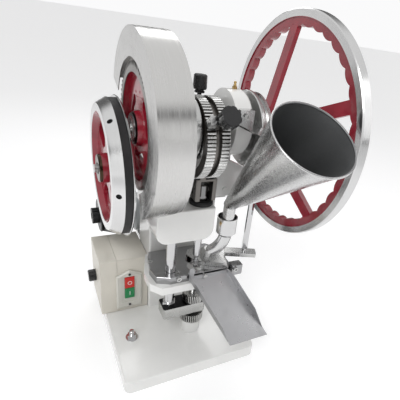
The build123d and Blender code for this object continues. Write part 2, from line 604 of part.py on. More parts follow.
def pinion_shaft():
    """The countershaft with its pinion cut on it, and the nut that holds the pulley."""
    shaft = rod_x(COUNTER_R, COUNTER_X0 + 10, COUNTER_X1, COUNTER_Y, COUNTER_Z)
    tip = rod_x(COUNTER_R - 4, COUNTER_X0, COUNTER_X0 + 11, COUNTER_Y, COUNTER_Z)
    tooth = 360 / PINION_TEETH
    teeth = spur_gear(PINION_TEETH, GEAR_MODULE, GEAR_BACKLASH, GEAR_X0, GEAR_X1, COUNTER_Y, COUNTER_Z,
                      COUNTER_ANGLE + 180 + tooth / 2)
    collar = rod_x(COUNTER_R + 5, PULLEY_X1 + BODY_GAP, GEAR_X0 + 0.5, COUNTER_Y, COUNTER_Z)
    save("pinion_shaft", shaft + tip + teeth + collar)


def motor():
    """A small finned motor behind the column; its front shield tapers towards the pulley."""
    body = rod_x(MOTOR_R - 4, MOTOR_X0, MOTOR_X1, MOTOR_Y, MOTOR_Z)
    fins = 26
    for index in range(fins):
        fin = Rot(index * 360 / fins, 0, 0) * block(MOTOR_X0 + 8, MOTOR_X1 - 12, MOTOR_R - 8, MOTOR_R, -1.2, 1.2)
        body += Pos(0, MOTOR_Y, MOTOR_Z) * fin
    shield = turned_x([(MOTOR_X0 - 52, 12), (MOTOR_X0 - 52, 22), (MOTOR_X0 - 44, 25), (MOTOR_X0 - 12, MOTOR_R - 14),
                       (MOTOR_X0 - 6, MOTOR_R - 2), (MOTOR_X0, MOTOR_R), (MOTOR_X0 + 6, MOTOR_R),
                       (MOTOR_X0 + 6, 12)], MOTOR_Y, MOTOR_Z)
    body += shield
    foot = block(MOTOR_X0 + 14, MOTOR_X1 - 14, MOTOR_Y - 44, MOTOR_Y + 44, MOTOR_Z - MOTOR_R - 6, MOTOR_Z - MOTOR_R + 8)
    body += foot
    body -= rod_x(MOTOR_SHAFT_R + RUN, MOTOR_X0 - 60, MOTOR_X0 - 10, MOTOR_Y, MOTOR_Z)
    save("motor_body", body)
    cowl = tube_x(MOTOR_R + 1, MOTOR_R - 1, MOTOR_X1 - 12, MOTOR_X1 + 22, MOTOR_Y, MOTOR_Z)
    end = rod_x(MOTOR_R + 1, MOTOR_X1 + 20, MOTOR_X1 + 22, MOTOR_Y, MOTOR_Z)
    for ring in range(3):
        inner = 12 + ring * 11
        end -= tube_x(inner + 6, inner, MOTOR_X1 + 19, MOTOR_X1 + 23, MOTOR_Y, MOTOR_Z)
    for index in range(4):
        bridge = Rot(index * 90 + 45, 0, 0) * block(MOTOR_X1 + 20, MOTOR_X1 + 22, 0, MOTOR_R, -4, 4)
        end += Pos(0, MOTOR_Y, MOTOR_Z) * bridge
    save("motor_fan_cover", cowl + end)


def motor_mount():
    top = MOTOR_Z - MOTOR_R - 6
    plate = block(MOTOR_X0 + 4, MOTOR_X1 - 4, MOTOR_Y - 48, MOTOR_Y + 48, top - 10, top)
    plate = fillet(plate.edges().filter_by(Axis.Z), 6)
    leg = block(-38, 48, MOTOR_Y - 34, MOTOR_Y + 34, BASE_H + 8, top - 9)
    leg = fillet(leg.edges().filter_by(Axis.Z), 8)
    foot = block(-50, 60, MOTOR_Y - 46, MOTOR_Y + 46, BASE_H, BASE_H + 9)
    foot = fillet(foot.edges().filter_by(Axis.Z), 8)
    save("motor_mount", plate + leg + foot)


def motor_drive():
    shaft = rod_x(MOTOR_SHAFT_R, PULLEY_X0, MOTOR_X0 - 12, MOTOR_Y, MOTOR_Z)
    save("motor_shaft", shaft)
    groove_left, groove_right = BELT_X - BELT_TOP / 2 - BELT_GAP, BELT_X + BELT_TOP / 2 + BELT_GAP
    taper = (BELT_TOP - BELT_BOTTOM) / 2 * (BELT_H + 1.5) / BELT_H
    groove_r = MOTOR_PULLEY_R - 1.0 - BELT_H - 1.5
    x0, x1 = BELT_X - 12, BELT_X + 12
    profile = [
        (x0, MOTOR_SHAFT_R), (x0, MOTOR_PULLEY_R - 2), (x0 + 1.5, MOTOR_PULLEY_R), (groove_left, MOTOR_PULLEY_R),
        (groove_left, MOTOR_PULLEY_R - 1),
        (groove_left + taper, groove_r), (groove_right - taper, groove_r),
        (groove_right, MOTOR_PULLEY_R - 1), (groove_right, MOTOR_PULLEY_R),
        (x1 - 1.5, MOTOR_PULLEY_R), (x1, MOTOR_PULLEY_R - 2), (x1, MOTOR_SHAFT_R)]
    pulley = turned_x(profile, MOTOR_Y, MOTOR_Z)
    knurl = toothed_x(toothed_disc(12, 20, 2.0), x0 - 16, x0 + 1, MOTOR_Y, MOTOR_Z)
    knurl -= rod_x(MOTOR_SHAFT_R, x0 - 17, x0 + 2, MOTOR_Y, MOTOR_Z)
    save("motor_pulley", pulley + knurl)


# ---------------------------------------------------------------- main shaft
def main_shaft():
    shaft = rod_x(SHAFT_R, GEAR_X0 + 1, WHEEL_HUB_X1, 0, SHAFT_Z)
    eccentric = rod_x(ECC_R, ECC_X - RING_HALF, ECC_X + RING_HALF, 0, ECC_Z)
    cap = rod_x(SHAFT_R + 4, BULL_HUB_X0 - 2.5, BULL_HUB_X0, 0, SHAFT_Z)
    cap += rod_x(8, BULL_HUB_X0 - 4.0, BULL_HUB_X0 - 2, 0, SHAFT_Z)
    cap += rod_x(SHAFT_R, BULL_HUB_X0 - 1, GEAR_X0 + 1, 0, SHAFT_Z)
    save("main_shaft", shaft + eccentric, cap)


def bull_gear():
    gear = spur_gear(BULL_TEETH, GEAR_MODULE, GEAR_BACKLASH, GEAR_X0, GEAR_X1, 0, SHAFT_Z, COUNTER_ANGLE)
    pocket = turned_x([(GEAR_X0 - 1, BULL_HUB_R + 2), (GEAR_X0 - 1, BULL_RIM_R), (BULL_WEB_X0, BULL_RIM_R - 2),
                       (BULL_WEB_X0, BULL_HUB_R + 4)], 0, SHAFT_Z)
    back = turned_x([(GEAR_X1 + 1, BULL_HUB_R + 2), (GEAR_X1 + 1, BULL_RIM_R), (BULL_WEB_X1, BULL_RIM_R - 2),
                     (BULL_WEB_X1, BULL_HUB_R + 4)], 0, SHAFT_Z)
    gear = gear - pocket - back
    gear += rod_x(BULL_HUB_R, BULL_HUB_X0, GEAR_X1 + 20, 0, SHAFT_Z)
    for cutter in windows_x(3, 30, 42, 80, 44, BULL_WEB_X0 - 3, BULL_WEB_X1 + 3, 0, SHAFT_Z, 8):
        gear -= cutter
    for angle in (70, 95, 200):
        y, z = polar(60, angle, 0, SHAFT_Z)
        gear -= rod_x(2.5, BULL_WEB_X0 - 2, BULL_WEB_X1 + 2, y, z)
    gear -= rod_x(SHAFT_R, BULL_HUB_X0 - 1, GEAR_X1 + 30, 0, SHAFT_Z)
    save("bull_gear", gear)


def ejection_cam():
    """The cam that lifts the lower punch: a disc with a lobe on its far side."""
    disc = rod_x(EJECT_CAM_R, EJECT_CAM_X0, EJECT_CAM_X1, 0, SHAFT_Z)
    y, z = polar(EJECT_CAM_R + LIFT_STROKE - EJECT_NOSE_R, EJECT_LOBE_ANGLE, 0, SHAFT_Z)
    lobe = rod_x(EJECT_NOSE_R, EJECT_CAM_X0, EJECT_CAM_X1, y, z)
    disc = chamfer(disc.edges().filter_by(GeomType.CIRCLE), 1.5)
    disc += chamfer(lobe.edges().filter_by(GeomType.CIRCLE), 1.5)
    disc -= rod_x(SHAFT_R, EJECT_CAM_X0 - 1, EJECT_CAM_X1 + 1, 0, SHAFT_Z)
    save("ejection_cam", disc)


def feed_cam():
    """The grooved drum cam that rocks the feeder."""
    middle = (FEED_CAM_X0 + FEED_CAM_X1) / 2
    profile = [
        (RIGHT_PED_X1 + BODY_GAP, SHAFT_R), (RIGHT_PED_X1 + BODY_GAP, 34), (FEED_CAM_X0, 34),
        (FEED_CAM_X0, FEED_CAM_R - 1.5), (FEED_CAM_X0 + 1.5, FEED_CAM_R), (middle - FEED_GROOVE_W / 2, FEED_CAM_R),
        (middle - FEED_GROOVE_W / 2, FEED_CAM_R - FEED_GROOVE_D), (middle + FEED_GROOVE_W / 2, FEED_CAM_R - FEED_GROOVE_D),
        (middle + FEED_GROOVE_W / 2, FEED_CAM_R - 3), (FEED_CAM_X1 - 1.5, FEED_CAM_R - 3),
        (FEED_CAM_X1, FEED_CAM_R - 4.5), (FEED_CAM_X1, SHAFT_R)]
    save("feed_cam", turned_x(profile, 0, SHAFT_Z))


def grip_ring(x0, x1):
    """The rim's inner ring, scalloped for the fingers."""
    outer_r = WHEEL_R - WHEEL_BAND
    step = 360 / WHEEL_GRIPS
    arcs = []
    for index in range(WHEEL_GRIPS):
        angles = (index * step, (index + 0.5) * step, (index + 1) * step)
        radii = (WHEEL_GRIP_OUT, WHEEL_GRIP_IN, WHEEL_GRIP_OUT)
        points = [(x0, *polar(r, a, 0, SHAFT_Z)) for r, a in zip(radii, angles)]
        arcs.append(ThreePointArc(*points))
    hole = extrude(make_face(arcs), x1 - x0, dir=(1, 0, 0))
    return rod_x(outer_r, x0, x1, 0, SHAFT_Z) - hole


def handwheel():
    rim = tube_x(WHEEL_R, WHEEL_R - WHEEL_BAND - 1, WHEEL_X0, WHEEL_X1, 0, SHAFT_Z)
    rim = chamfer(rim.edges().filter_by(GeomType.CIRCLE).sort_by(SortBy.LENGTH)[-2:], 2)
    wheel = rim + grip_ring(WHEEL_X0 + 2, WHEEL_X1 - 3)
    hub = rod_x(WHEEL_HUB_R, WHEEL_HUB_X0, WHEEL_HUB_X1, 0, SHAFT_Z)
    hub = chamfer(hub.edges().filter_by(GeomType.CIRCLE), 3)
    wheel += hub
    hub_x, rim_x = (WHEEL_HUB_X0 + WHEEL_HUB_X1) / 2 + 2, WHEEL_X0 + 9
    inner_r, outer_r = WHEEL_HUB_R - 6, WHEEL_GRIP_OUT + 4
    half = SPOKE_T / 2
    for index in range(WHEEL_SPOKES):
        angle = WHEEL_SPOKE_ANGLE + index * 360 / WHEEL_SPOKES
        outline = [(hub_x - half, inner_r), (rim_x - half, outer_r), (rim_x + half, outer_r), (hub_x + half, inner_r)]
        bar = extrude(make_face(Polyline(*outline, close=True)), SPOKE_W / 2, both=True)
        wheel += Pos(0, 0, SHAFT_Z) * Rot(angle, 0, 0) * bar
    wheel -= rod_x(SHAFT_R, WHEEL_HUB_X0 - 1, WHEEL_HUB_X1 + 1, 0, SHAFT_Z)
    save("handwheel", wheel)


# ---------------------------------------------------------------- connecting rod
def rod_relief():
    """Room for the slide rod's head when the punch is raised against the strap."""
    side = SLIDE_R + 0.6
    return block(-side, side, -side, side, CLEVIS_Z0 - 1, SLIDE_TOP + PUNCH_UP + 1)


def connecting_rod():
    ring_x0, ring_x1 = ECC_X - RING_HALF, ECC_X + RING_HALF
    groove_x0, groove_x1 = ECC_X - GROOVE_HALF, ECC_X + GROOVE_HALF
    sleeve = tube_x(ECC_SLEEVE_R, ECC_R + RUN, ring_x0, ring_x1, 0, ECC_Z)
    save("eccentric_sleeve", sleeve)
    outline = toothed_disc(RING_TEETH, RING_R, RING_TOOTH_H)
    rings = []
    for x0, x1 in ((ring_x0, groove_x0), (groove_x1, ring_x1)):
        ring = toothed_x(outline, x0, x1, 0, ECC_Z) - rod_x(ECC_SLEEVE_R, x0 - 1, x1 + 1, 0, ECC_Z)
        rings.append(ring - rod_relief())
    save("adjusting_rings", *rings)
    strap = tube_x(STRAP_R, ECC_SLEEVE_R, groove_x0, groove_x1, 0, ECC_Z)
    neck = block(groove_x0, groove_x1, -CLEVIS_HALF_Y, CLEVIS_HALF_Y, CLEVIS_Z1 - 1, ECC_Z - 50)
    neck -= rod_x(ECC_SLEEVE_R, ring_x0, ring_x1, 0, ECC_Z)
    clevis = block(-CLEVIS_HALF_X, CLEVIS_HALF_X, -CLEVIS_HALF_Y, CLEVIS_HALF_Y, CLEVIS_Z0, CLEVIS_Z1)
    clevis = chamfer(clevis.edges().filter_by(Axis.Z), 2)
    gap = SLIDE_R + SLIDE_SIDE
    clevis -= block(-gap, gap, -CLEVIS_HALF_Y - 1, CLEVIS_HALF_Y + 1, CLEVIS_Z0 - 1, CLEVIS_Z1 - 4)
    clevis -= rod_x(WRIST_R + 1, -CLEVIS_HALF_X - 1, -gap + 1, 0, WRIST_Z)
    clevis -= rod_x(WRIST_R + 1, gap - 1, CLEVIS_HALF_X + 1, 0, WRIST_Z)
    clear = rod_x(RING_R + 0.2, -CLEVIS_HALF_X - 1, CLEVIS_HALF_X + 1, 0, ECC_Z)
    body = strap + neck + (clevis - clear) - rod_relief()
    body -= rod_z(OILER_STEM_R, ECC_Z + ECC_SLEEVE_R / 2, OILER_Z0, ECC_X, OILER_Y)
    save("connecting_strap", body)


def clamp_place(solid):
    """Turns something built along +Y to the clamp's place on the strap."""
    return Pos(0, 0, ECC_Z) * Rot(KNOB_LEAN, 0, 0) * solid


def clamp_and_oiler():
    """The clamp lug and star knob at the front of the strap, and the oil cup on its top."""
    lug = block(LUG_X0, LUG_X1, LUG_R0, LUG_R1, -LUG_HALF, LUG_HALF)
    lug = fillet(lug.edges().filter_by(Axis.Y), 3)
    lug += block(ECC_X - GROOVE_HALF + 1, ECC_X + GROOVE_HALF - 1, STRAP_R - 4, LUG_R0 + 1, -LUG_HALF, LUG_HALF)
    lug -= rod_x(STRAP_R, LUG_X0, LUG_X1)
    lug += rod_y(KNOB_STEM_R, LUG_R1 - 1, KNOB_FROM_R + 6, KNOB_X)
    save("clamp_stem", clamp_place(lug))
    outline = Circle(KNOB_R)
    for index in range(KNOB_LOBES):
        angle = 2 * pi * index / KNOB_LOBES
        outline -= Pos((KNOB_R + 2.2) * cos(angle), (KNOB_R + 2.2) * sin(angle)) * Circle(4.5)
    outline = fillet(outline.vertices(), 1.5)
    barrel = Cylinder(KNOB_R + 1, KNOB_T, align=STAND)
    barrel = fillet(barrel.edges().filter_by(GeomType.CIRCLE), 4)
    knob = extrude(outline, KNOB_T) & barrel
    knob -= Pos(0, 0, -1) * Cylinder(KNOB_STEM_R + RUN, 11, align=STAND)
    save("star_knob", clamp_place(Pos(KNOB_X, KNOB_FROM_R, 0) * Rot(-90, 0, 0) * knob))
    stem_z0 = ECC_Z + ECC_SLEEVE_R / 2
    cap = OILER_CAP_R
    cup = turned_z([(0, stem_z0), (OILER_STEM_R, stem_z0), (OILER_STEM_R, OILER_Z0), (9.5, OILER_Z0),
                    (9.5, OILER_Z0 + 2.5), (8, OILER_Z0 + 3.5), (8, OILER_Z0 + 5), (cap - 1, OILER_Z0 + 6),
                    (cap, OILER_Z0 + 8), (cap - 0.7, OILER_Z1 - 2), (cap - 2.5, OILER_Z1), (0, OILER_Z1)], ECC_X, OILER_Y)
    save("oil_cup", cup - rod_x(ECC_SLEEVE_R, ECC_X - RING_HALF, ECC_X + RING_HALF, 0, ECC_Z))


def slide_and_punch():
    rod = rod_z(SLIDE_R, SLIDE_BOTTOM, SLIDE_TOP)
    rod = chamfer(rod.edges().filter_by(GeomType.CIRCLE), 1.5)
    rod -= rod_x(WRIST_R, -SLIDE_R - 1, SLIDE_R + 1, 0, WRIST_Z)
    rod -= rod_z(PUNCH_SHANK_R - 2, SLIDE_BOTTOM - 1, SLIDE_BOTTOM + 22)
    save("slide_rod", rod, rod_x(WRIST_R, -SLIDE_R + 0.5, SLIDE_R - 0.5, 0, WRIST_Z))
    punch = turned_z([(0, SLIDE_BOTTOM + 22), (PUNCH_SHANK_R - 2, SLIDE_BOTTOM + 22), (PUNCH_SHANK_R - 2, SLIDE_BOTTOM),
                      (PUNCH_SHANK_R, SLIDE_BOTTOM), (PUNCH_SHANK_R, PUNCH_TIP_Z + 22), (PUNCH_TIP_R + 0.5, PUNCH_TIP_Z + 15),
                      (PUNCH_TIP_R, PUNCH_TIP_Z + 14), (PUNCH_TIP_R, PUNCH_TIP_Z), (0, PUNCH_TIP_Z)])
    save("upper_punch", punch)


# ---------------------------------------------------------------- table, die and lower train
def table_screw_places():
    return [(-90, 46), (-46, -14), (70, 46), (70, -18)]


def die_table():
    """The polished steel plate on the shelf, with a block at its right end."""
    front = TABLE_FRONT_Y
    outline = [(-84, 84), (-91, 66), (-99, 21), (-93, -15), (-66, front), (66, front), (82, -14), (82, 60), (58, 84)]
    plate = slab(outline, ARM_Z1, TABLE_Z)
    plate = chamfer(plate.faces().sort_by(Axis.Z)[-1].edges(), 0.8)
    end_y1 = END_BLOCK_Y + 20
    plate += block(END_BLOCK_X0, END_BLOCK_X1, END_BLOCK_Y, end_y1, ARM_Z1, TABLE_Z + 3)
    plate += block(END_BLOCK_X0 + 5, END_BLOCK_X1, END_BLOCK_Y, end_y1, ARM_Z1 - 6, TABLE_Z)
    plate -= rod_z(DIE_R, ARM_Z1 - 1, TABLE_Z + 1)
    plate -= rod_z(LIFT_R + 1.0, ARM_Z1 - 1, TABLE_Z + 1, LIFT_X)
    for x, y in table_screw_places():
        plate -= rod_z(3, ARM_Z1 - 1, TABLE_Z + 1, x, y)
        plate -= rod_z(5.5, TABLE_Z - 6, TABLE_Z + 1, x, y)
    save("die_table", plate)


def socket_head(x, seat_y, z):
    """A socket screw's head, standing forwards of the face at seat_y."""
    head = rod_y(5.5, seat_y - 4, seat_y, x, z)
    return head - Pos(x, seat_y - 5, z) * Rot(-90, 0, 0) * extrude(RegularPolygon(3, 6), 3)


def frame_screws():
    """Screws of the die table, of the chute's clip and of the hopper's strap."""
    screws = []
    for x, y in table_screw_places():
        screw = rod_z(3, ARM_Z1 - 12, TABLE_Z - 5, x, y) + rod_z(5.5, TABLE_Z - 6, TABLE_Z - 0.5, x, y)
        screws.append(screw - hex_z(5, TABLE_Z - 4, TABLE_Z, x, y))
    chute_screw = rod_y(4.8, CHUTE_Y - 3.5, CHUTE_Y, CHUTE_SCREW_X, TABLE_Z - 5)
    screws.append(chute_screw + rod_y(3, CHUTE_Y, TABLE_FRONT_Y, CHUTE_SCREW_X, TABLE_Z - 5))
    screws.append(socket_head(TABLE_SCREW_X, TABLE_FRONT_Y, TABLE_Z - 6))
    screws.append(socket_head(END_SCREW_X, END_BLOCK_Y, TABLE_Z - 6))
    screws.append(socket_head(PAD_SCREW_X, -HOUSING_R - SHEET - 1, PAD_SCREW_Z))
    save("frame_screws", *screws)


def die():
    body = turned_z([(PUNCH_TIP_R + RUN, TABLE_Z - DIE_H), (DIE_R, TABLE_Z - DIE_H), (DIE_R, TABLE_Z),
                     (PUNCH_TIP_R + 0.6, TABLE_Z), (PUNCH_TIP_R + RUN, TABLE_Z - 1)])
    save("die", body)


def lifting_gear():
    """The lifting rod, its follower yoke at the top and the lifting bar at the foot."""
    rod = rod_z(LIFT_R, BAR_Z0 - 12, LIFT_TOP, LIFT_X)
    rod = chamfer(rod.edges().filter_by(GeomType.CIRCLE), 1.5)
    nuts = []
    for z0 in (BAR_Z1, BAR_Z0 - 9):
        nuts.append(hex_z(27, z0, z0 + 9, LIFT_X, 0, 10) - rod_z(LIFT_R, z0 - 1, z0 + 10, LIFT_X))
    save("lifting_rod", rod, *nuts)
    yoke = block(LIFT_X - 15, EJECT_CAM_X1, -13, 13, YOKE_Z0, YOKE_Z1) - rod_z(LIFT_R, YOKE_Z0 - 1, YOKE_Z1 + 1, LIFT_X)
    yoke -= block(LIFT_X + LIFT_R + 1, EJECT_CAM_X1 + 1, -14, 14, YOKE_Z0 - 1, YOKE_Z0 + 4)
    middle = (EJECT_CAM_X0 + EJECT_CAM_X1) / 2
    roller_z = SHAFT_Z - EJECT_CAM_R - 2 * LIFT_STROKE - 1 - FOLLOWER_R
    fork = block(middle - FORK_HALF, middle + FORK_HALF, -6, 6, YOKE_Z1 - 1, roller_z + 4)
    fork -= block(middle - FOLLOWER_W / 2 - 0.5, middle + FOLLOWER_W / 2 + 0.5, -7, 7, YOKE_Z1 - 6, roller_z + 5)
    yoke -= block(middle - FOLLOWER_W / 2 - 0.5, middle + FOLLOWER_W / 2 + 0.5, -10, 10, YOKE_Z1 - 6, YOKE_Z1 + 1)
    pin = rod_x(3, middle - FORK_HALF, middle + FORK_HALF, 0, roller_z)
    roller = tube_x(FOLLOWER_R, 3, middle - FOLLOWER_W / 2, middle + FOLLOWER_W / 2, 0, roller_z)
    save("follower_yoke", yoke + fork - rod_x(3, middle - 10, middle + 10, 0, roller_z), pin, roller)
    bar = block(BAR_X0, BAR_X1, -BAR_HALF_Y, BAR_HALF_Y, BAR_Z0, BAR_Z1)
    bar = chamfer(bar.edges().filter_by(Axis.Z), 3)
    bar -= rod_z(LIFT_R, BAR_Z0 - 1, BAR_Z1 + 1, LIFT_X)
    bar -= rod_z(LOWER_ROD_R + BODY_GAP, BAR_Z0 - 1, BAR_Z1 + 1)
    save("lifting_bar", bar)


def lower_punch_train():
    tip = turned_z([(0, LOWER_ROD_Z0), (LOWER_ROD_R, LOWER_ROD_Z0), (LOWER_ROD_R, LOWER_ROD_Z1 - LIFT_STROKE - 3),
                    (PUNCH_TIP_R, LOWER_ROD_Z1 - LIFT_STROKE), (PUNCH_TIP_R, LOWER_TIP_Z), (0, LOWER_TIP_Z)])
    save("lower_punch", tip)
    for node, radius, z0 in (("upper_adjusting_gear", UPPER_GEAR_R, BAR_Z1 + 2),
                             ("lower_adjusting_gear", LOWER_GEAR_R, BOSS_TOP + BODY_GAP)):
        face = make_face(Polyline(*toothed_disc(ADJUST_TEETH, radius, 2.4), close=True))
        gear = Pos(0, 0, z0) * extrude(face, ADJUST_GEAR_H)
        gear -= rod_z(LOWER_ROD_R + RUN, z0 - 1, z0 + ADJUST_GEAR_H + 1)
        save(node, gear)


# ---------------------------------------------------------------- feeder
def feed_shoe():
    """The shoe that slides on the die table, with a sloping hood at its back."""
    z0, z1, top = TABLE_Z + 0.4, TABLE_Z + 9.6, TABLE_Z + 30
    outline = [(66, -27), (19, -5), (-1, 17), (-9, 36), (0, 54), (26, 60), (72, 42), (80, 14)]
    shoe = slab(outline, z0, z1)
    hood_low = [(64, -24), (26, -6), (17, 8), (19, 48), (30, 54), (66, 38)]
    hood_high = [(52, -2), (36, 0), (28, 8), (28, 24), (36, 30), (50, 26)]
    hood = loft([Pos(0, 0, z1 - 0.5) * make_face(Polyline(*hood_low, close=True)),
                 Pos(0, 0, top) * make_face(Polyline(*hood_high, close=True))], ruled=True)
    shoe += hood
    shoe -= rod_z(12, z0 - 1, z1 - 2, 4.4, 30.5)
    shoe -= slab([(4, 19), (52, 4), (56, 26), (6, 42)], z0 - 1, z1 - 2)
    shoe -= rod_z(9, z0 - 1, top + 1, 39, 14)
    save("feed_shoe", shoe - feed_bend(Circle(HORN_R)))


def feed_bend(outline):
    """An outline swept along the bend from the collar down to the shoe."""
    low = (COLLAR_X, COLLAR_Y, COLLAR_Z0 - 6)
    path = Edge.make_three_point_arc(low, (59.5, 3.0, 264.0), (39.0, 14.0, TABLE_Z + 24))
    return sweep(Plane(origin=path @ 0, z_dir=path % 0) * outline, path)


def feed_tube():
    """The collar around the hopper's neck and the bent tube down to the shoe."""
    outer = tube_z(COLLAR_R, COLLAR_R - COLLAR_WALL, COLLAR_Z0 + 2, COLLAR_Z1, COLLAR_X, COLLAR_Y)
    cone = turned_z([(HORN_R, COLLAR_Z0 - 6), (COLLAR_R, COLLAR_Z0 + 2), (COLLAR_R, COLLAR_Z0 + 5),
                     (COLLAR_R - COLLAR_WALL, COLLAR_Z0 + 5), (HORN_R - COLLAR_WALL, COLLAR_Z0 - 4),
                     (HORN_R - COLLAR_WALL, COLLAR_Z0 - 6)], COLLAR_X, COLLAR_Y)
    tube = feed_bend(Circle(HORN_R) - Circle(HORN_R - COLLAR_WALL))
    save("feed_tube", outer + cone, tube)


def feeder_arm():
    """The flat bar from the upright hexagonal shaft to the shoe, with its nut."""
    lean = Rot(0, 0, FEED_ARM_ANGLE)
    half = FEED_ARM_W / 2
    bar = block(-47, 28, -half, half, FEED_ARM_Z0, FEED_ARM_Z0 + FEED_ARM_T)
    bar = fillet(bar.edges().filter_by(Axis.Z), 1.5)
    bar = Pos(FEED_PIVOT_X, FEED_PIVOT_Y, 0) * lean * bar
    bar -= rod_z(HEX_AF / 2, FEED_ARM_Z0 - 1, FEED_ARM_Z0 + FEED_ARM_T + 1, FEED_PIVOT_X, FEED_PIVOT_Y)
    save("feeder_arm", bar)
    top = FEED_ARM_Z0 + FEED_ARM_T
    shaft = hex_z(HEX_AF, top + 9, 398, FEED_PIVOT_X, FEED_PIVOT_Y, 20)
    shaft += rod_z(HEX_AF / sqrt(3), 397, HEX_TOP, FEED_PIVOT_X, FEED_PIVOT_Y)
    shaft += rod_z(HEX_AF / 2, FEED_ARM_Z0, top + 10, FEED_PIVOT_X, FEED_PIVOT_Y)
    save("hex_shaft", shaft)
    lever_z0, lever_z1 = 434.0, 443.0
    cam_x = (FEED_CAM_X0 + FEED_CAM_X1) / 2
    lever = rod_z(11, lever_z0, lever_z1, FEED_PIVOT_X, FEED_PIVOT_Y) + rod_z(7, lever_z0, lever_z1, cam_x, -18)
    reach, lean_angle = hypot(cam_x - FEED_PIVOT_X, -18 - FEED_PIVOT_Y), atan2(-18 - FEED_PIVOT_Y, cam_x - FEED_PIVOT_X)
    web = Pos(FEED_PIVOT_X, FEED_PIVOT_Y, 0) * Rot(0, 0, degrees(lean_angle)) * block(0, reach, -6, 6, lever_z0, lever_z1)
    lever += web
    lever -= rod_z(HEX_AF / sqrt(3), lever_z0 - 1, lever_z1 + 1, FEED_PIVOT_X, FEED_PIVOT_Y)
    lever -= rod_z(3, lever_z0 - 1, lever_z1 + 1, cam_x, -18)
    pin = rod_z(3, lever_z0, lever_z1 + 8, cam_x, -18)
    roller = tube_z(4.6, 3, lever_z1 + 0.5, lever_z1 + 8, cam_x, -18)
    save("cam_rocker", lever, pin + roller)


# ---------------------------------------------------------------- hopper and chute
def hopper_rim_plane(back=0.0):
    """The plane of the hopper's mouth, or one set back along its normal."""
    normal = Vector(HOPPER_TILT_X, -sin(radians(HOPPER_TILT)), cos(radians(HOPPER_TILT))).normalized()
    origin = Vector(HOPPER_X, HOPPER_Y, HOPPER_Z) - normal * back
    return Plane(origin=origin, x_dir=(1, 0, 0), z_dir=normal)


def hopper_throat():
    return Plane(origin=(NECK_X, NECK_Y, NECK_Z1), z_dir=(0.05, -0.35, 0.94))


def hopper_shell():
    """The oblique cone of the hopper, without its hollow."""
    return loft([hopper_throat() * Circle(NECK_R + 1.2), hopper_rim_plane() * Circle(HOPPER_R)], ruled=True)


def hopper():
    """An oblique sheet cone with a beaded mouth, its neck standing in the collar."""
    mouth, throat = hopper_rim_plane(), hopper_throat()
    shell = hopper_shell()
    inside = loft([Plane(origin=throat.origin - throat.z_dir * 2, z_dir=throat.z_dir) * Circle(NECK_R - 1.0),
                   hopper_rim_plane(-2) * Circle(HOPPER_R - SHEET + 0.4)], ruled=True)
    neck = rod_z(NECK_R, NECK_Z0, NECK_Z1 + 4, NECK_X, NECK_Y)
    bead = mouth * Torus(HOPPER_R - 0.4, HOPPER_BEAD_R)
    body = shell + neck
    body -= inside
    body -= rod_z(NECK_R - COLLAR_WALL, NECK_Z0 - 1, NECK_Z1 + 2, NECK_X, NECK_Y)
    save("hopper", body + bead)


def hopper_bracket():
    """The pad on the right bearing housing and its flat strap to the back of the hopper."""
    pad_y = -HOUSING_R - SHEET - 1
    pad = block(PAD_X0, PAD_X1, pad_y, -HOUSING_R + 20, STRAP_Z, PAD_TOP)
    plan = [(PAD_X0, pad_y), (PAD_X1, pad_y), (PAD_X1 + 12, pad_y - 29), (PAD_X0 + 6, pad_y - 68)]
    strap = slab(plan, STRAP_Z, STRAP_Z + STRAP_T)
    save("hopper_bracket", pad + strap - rod_x(HOUSING_R, PAD_X0 - 1, PAD_X1 + 1, 0, HOUSING_Z) - hopper_shell())


def chute():
    """The discharge chute: a sloping tray that leaves the table forwards and to the right."""
    corner = Vector(CHUTE_X, CHUTE_Y, CHUTE_Z)
    across = Vector(CHUTE_W, 0, 0)
    run = Vector(CHUTE_SIDEWAYS, -CHUTE_REACH, -CHUTE_DROP)
    along, length = run.normalized(), run.length
    up = along.cross(Vector(1, 0, 0)).normalized()
    start = corner - along * 20
    tray_corners = [start, start + across, corner + across + run, corner + run]
    tray = extrude(make_face(Polyline(*tray_corners, close=True)), SHEET, dir=up)
    side = along.cross(up).normalized()
    for origin, height, tail, inward in ((corner, CHUTE_WALL_H - 4, 40, 1), (corner + across, CHUTE_WALL_H, 66, -1)):
        outline = [(-20, 0), (length, 0), (length - tail / 3, 2), (length - tail, height), (-20, height)]
        corners = [origin + along * u + up * v for u, v in outline]
        face = make_face(Polyline(*corners, close=True))
        tray += extrude(face, SHEET, dir=side * (inward * (1 if side.X > 0 else -1)))
    tray -= block(-200, 200, CHUTE_Y, CHUTE_Y + 90, 100, 300)
    tray -= block(CHEEK_X1, END_BLOCK_X1, CHUTE_Y - SHOE_SWEEP, CHUTE_Y + 1, TABLE_Z - 0.5, CHEEK_TOP + 1)
    plate = block(CHUTE_X - 1, CHUTE_X + CHUTE_W + 1, CHUTE_Y, CHUTE_Y + SHEET, CHUTE_Z - 2, TABLE_Z - 1)
    cheek = block(CHEEK_X0, CHEEK_X1, CHUTE_Y, CHUTE_Y + SHEET, CHUTE_Z - 2, CHEEK_TOP)
    cheek = fillet(cheek.edges().filter_by(Axis.Y).sort_by(Axis.Z)[-2:], 5)
    plate = plate + cheek - rod_y(3, CHUTE_Y - 1, CHUTE_Y + 4, CHUTE_SCREW_X, TABLE_Z - 5)
    save("chute", tray + plate)


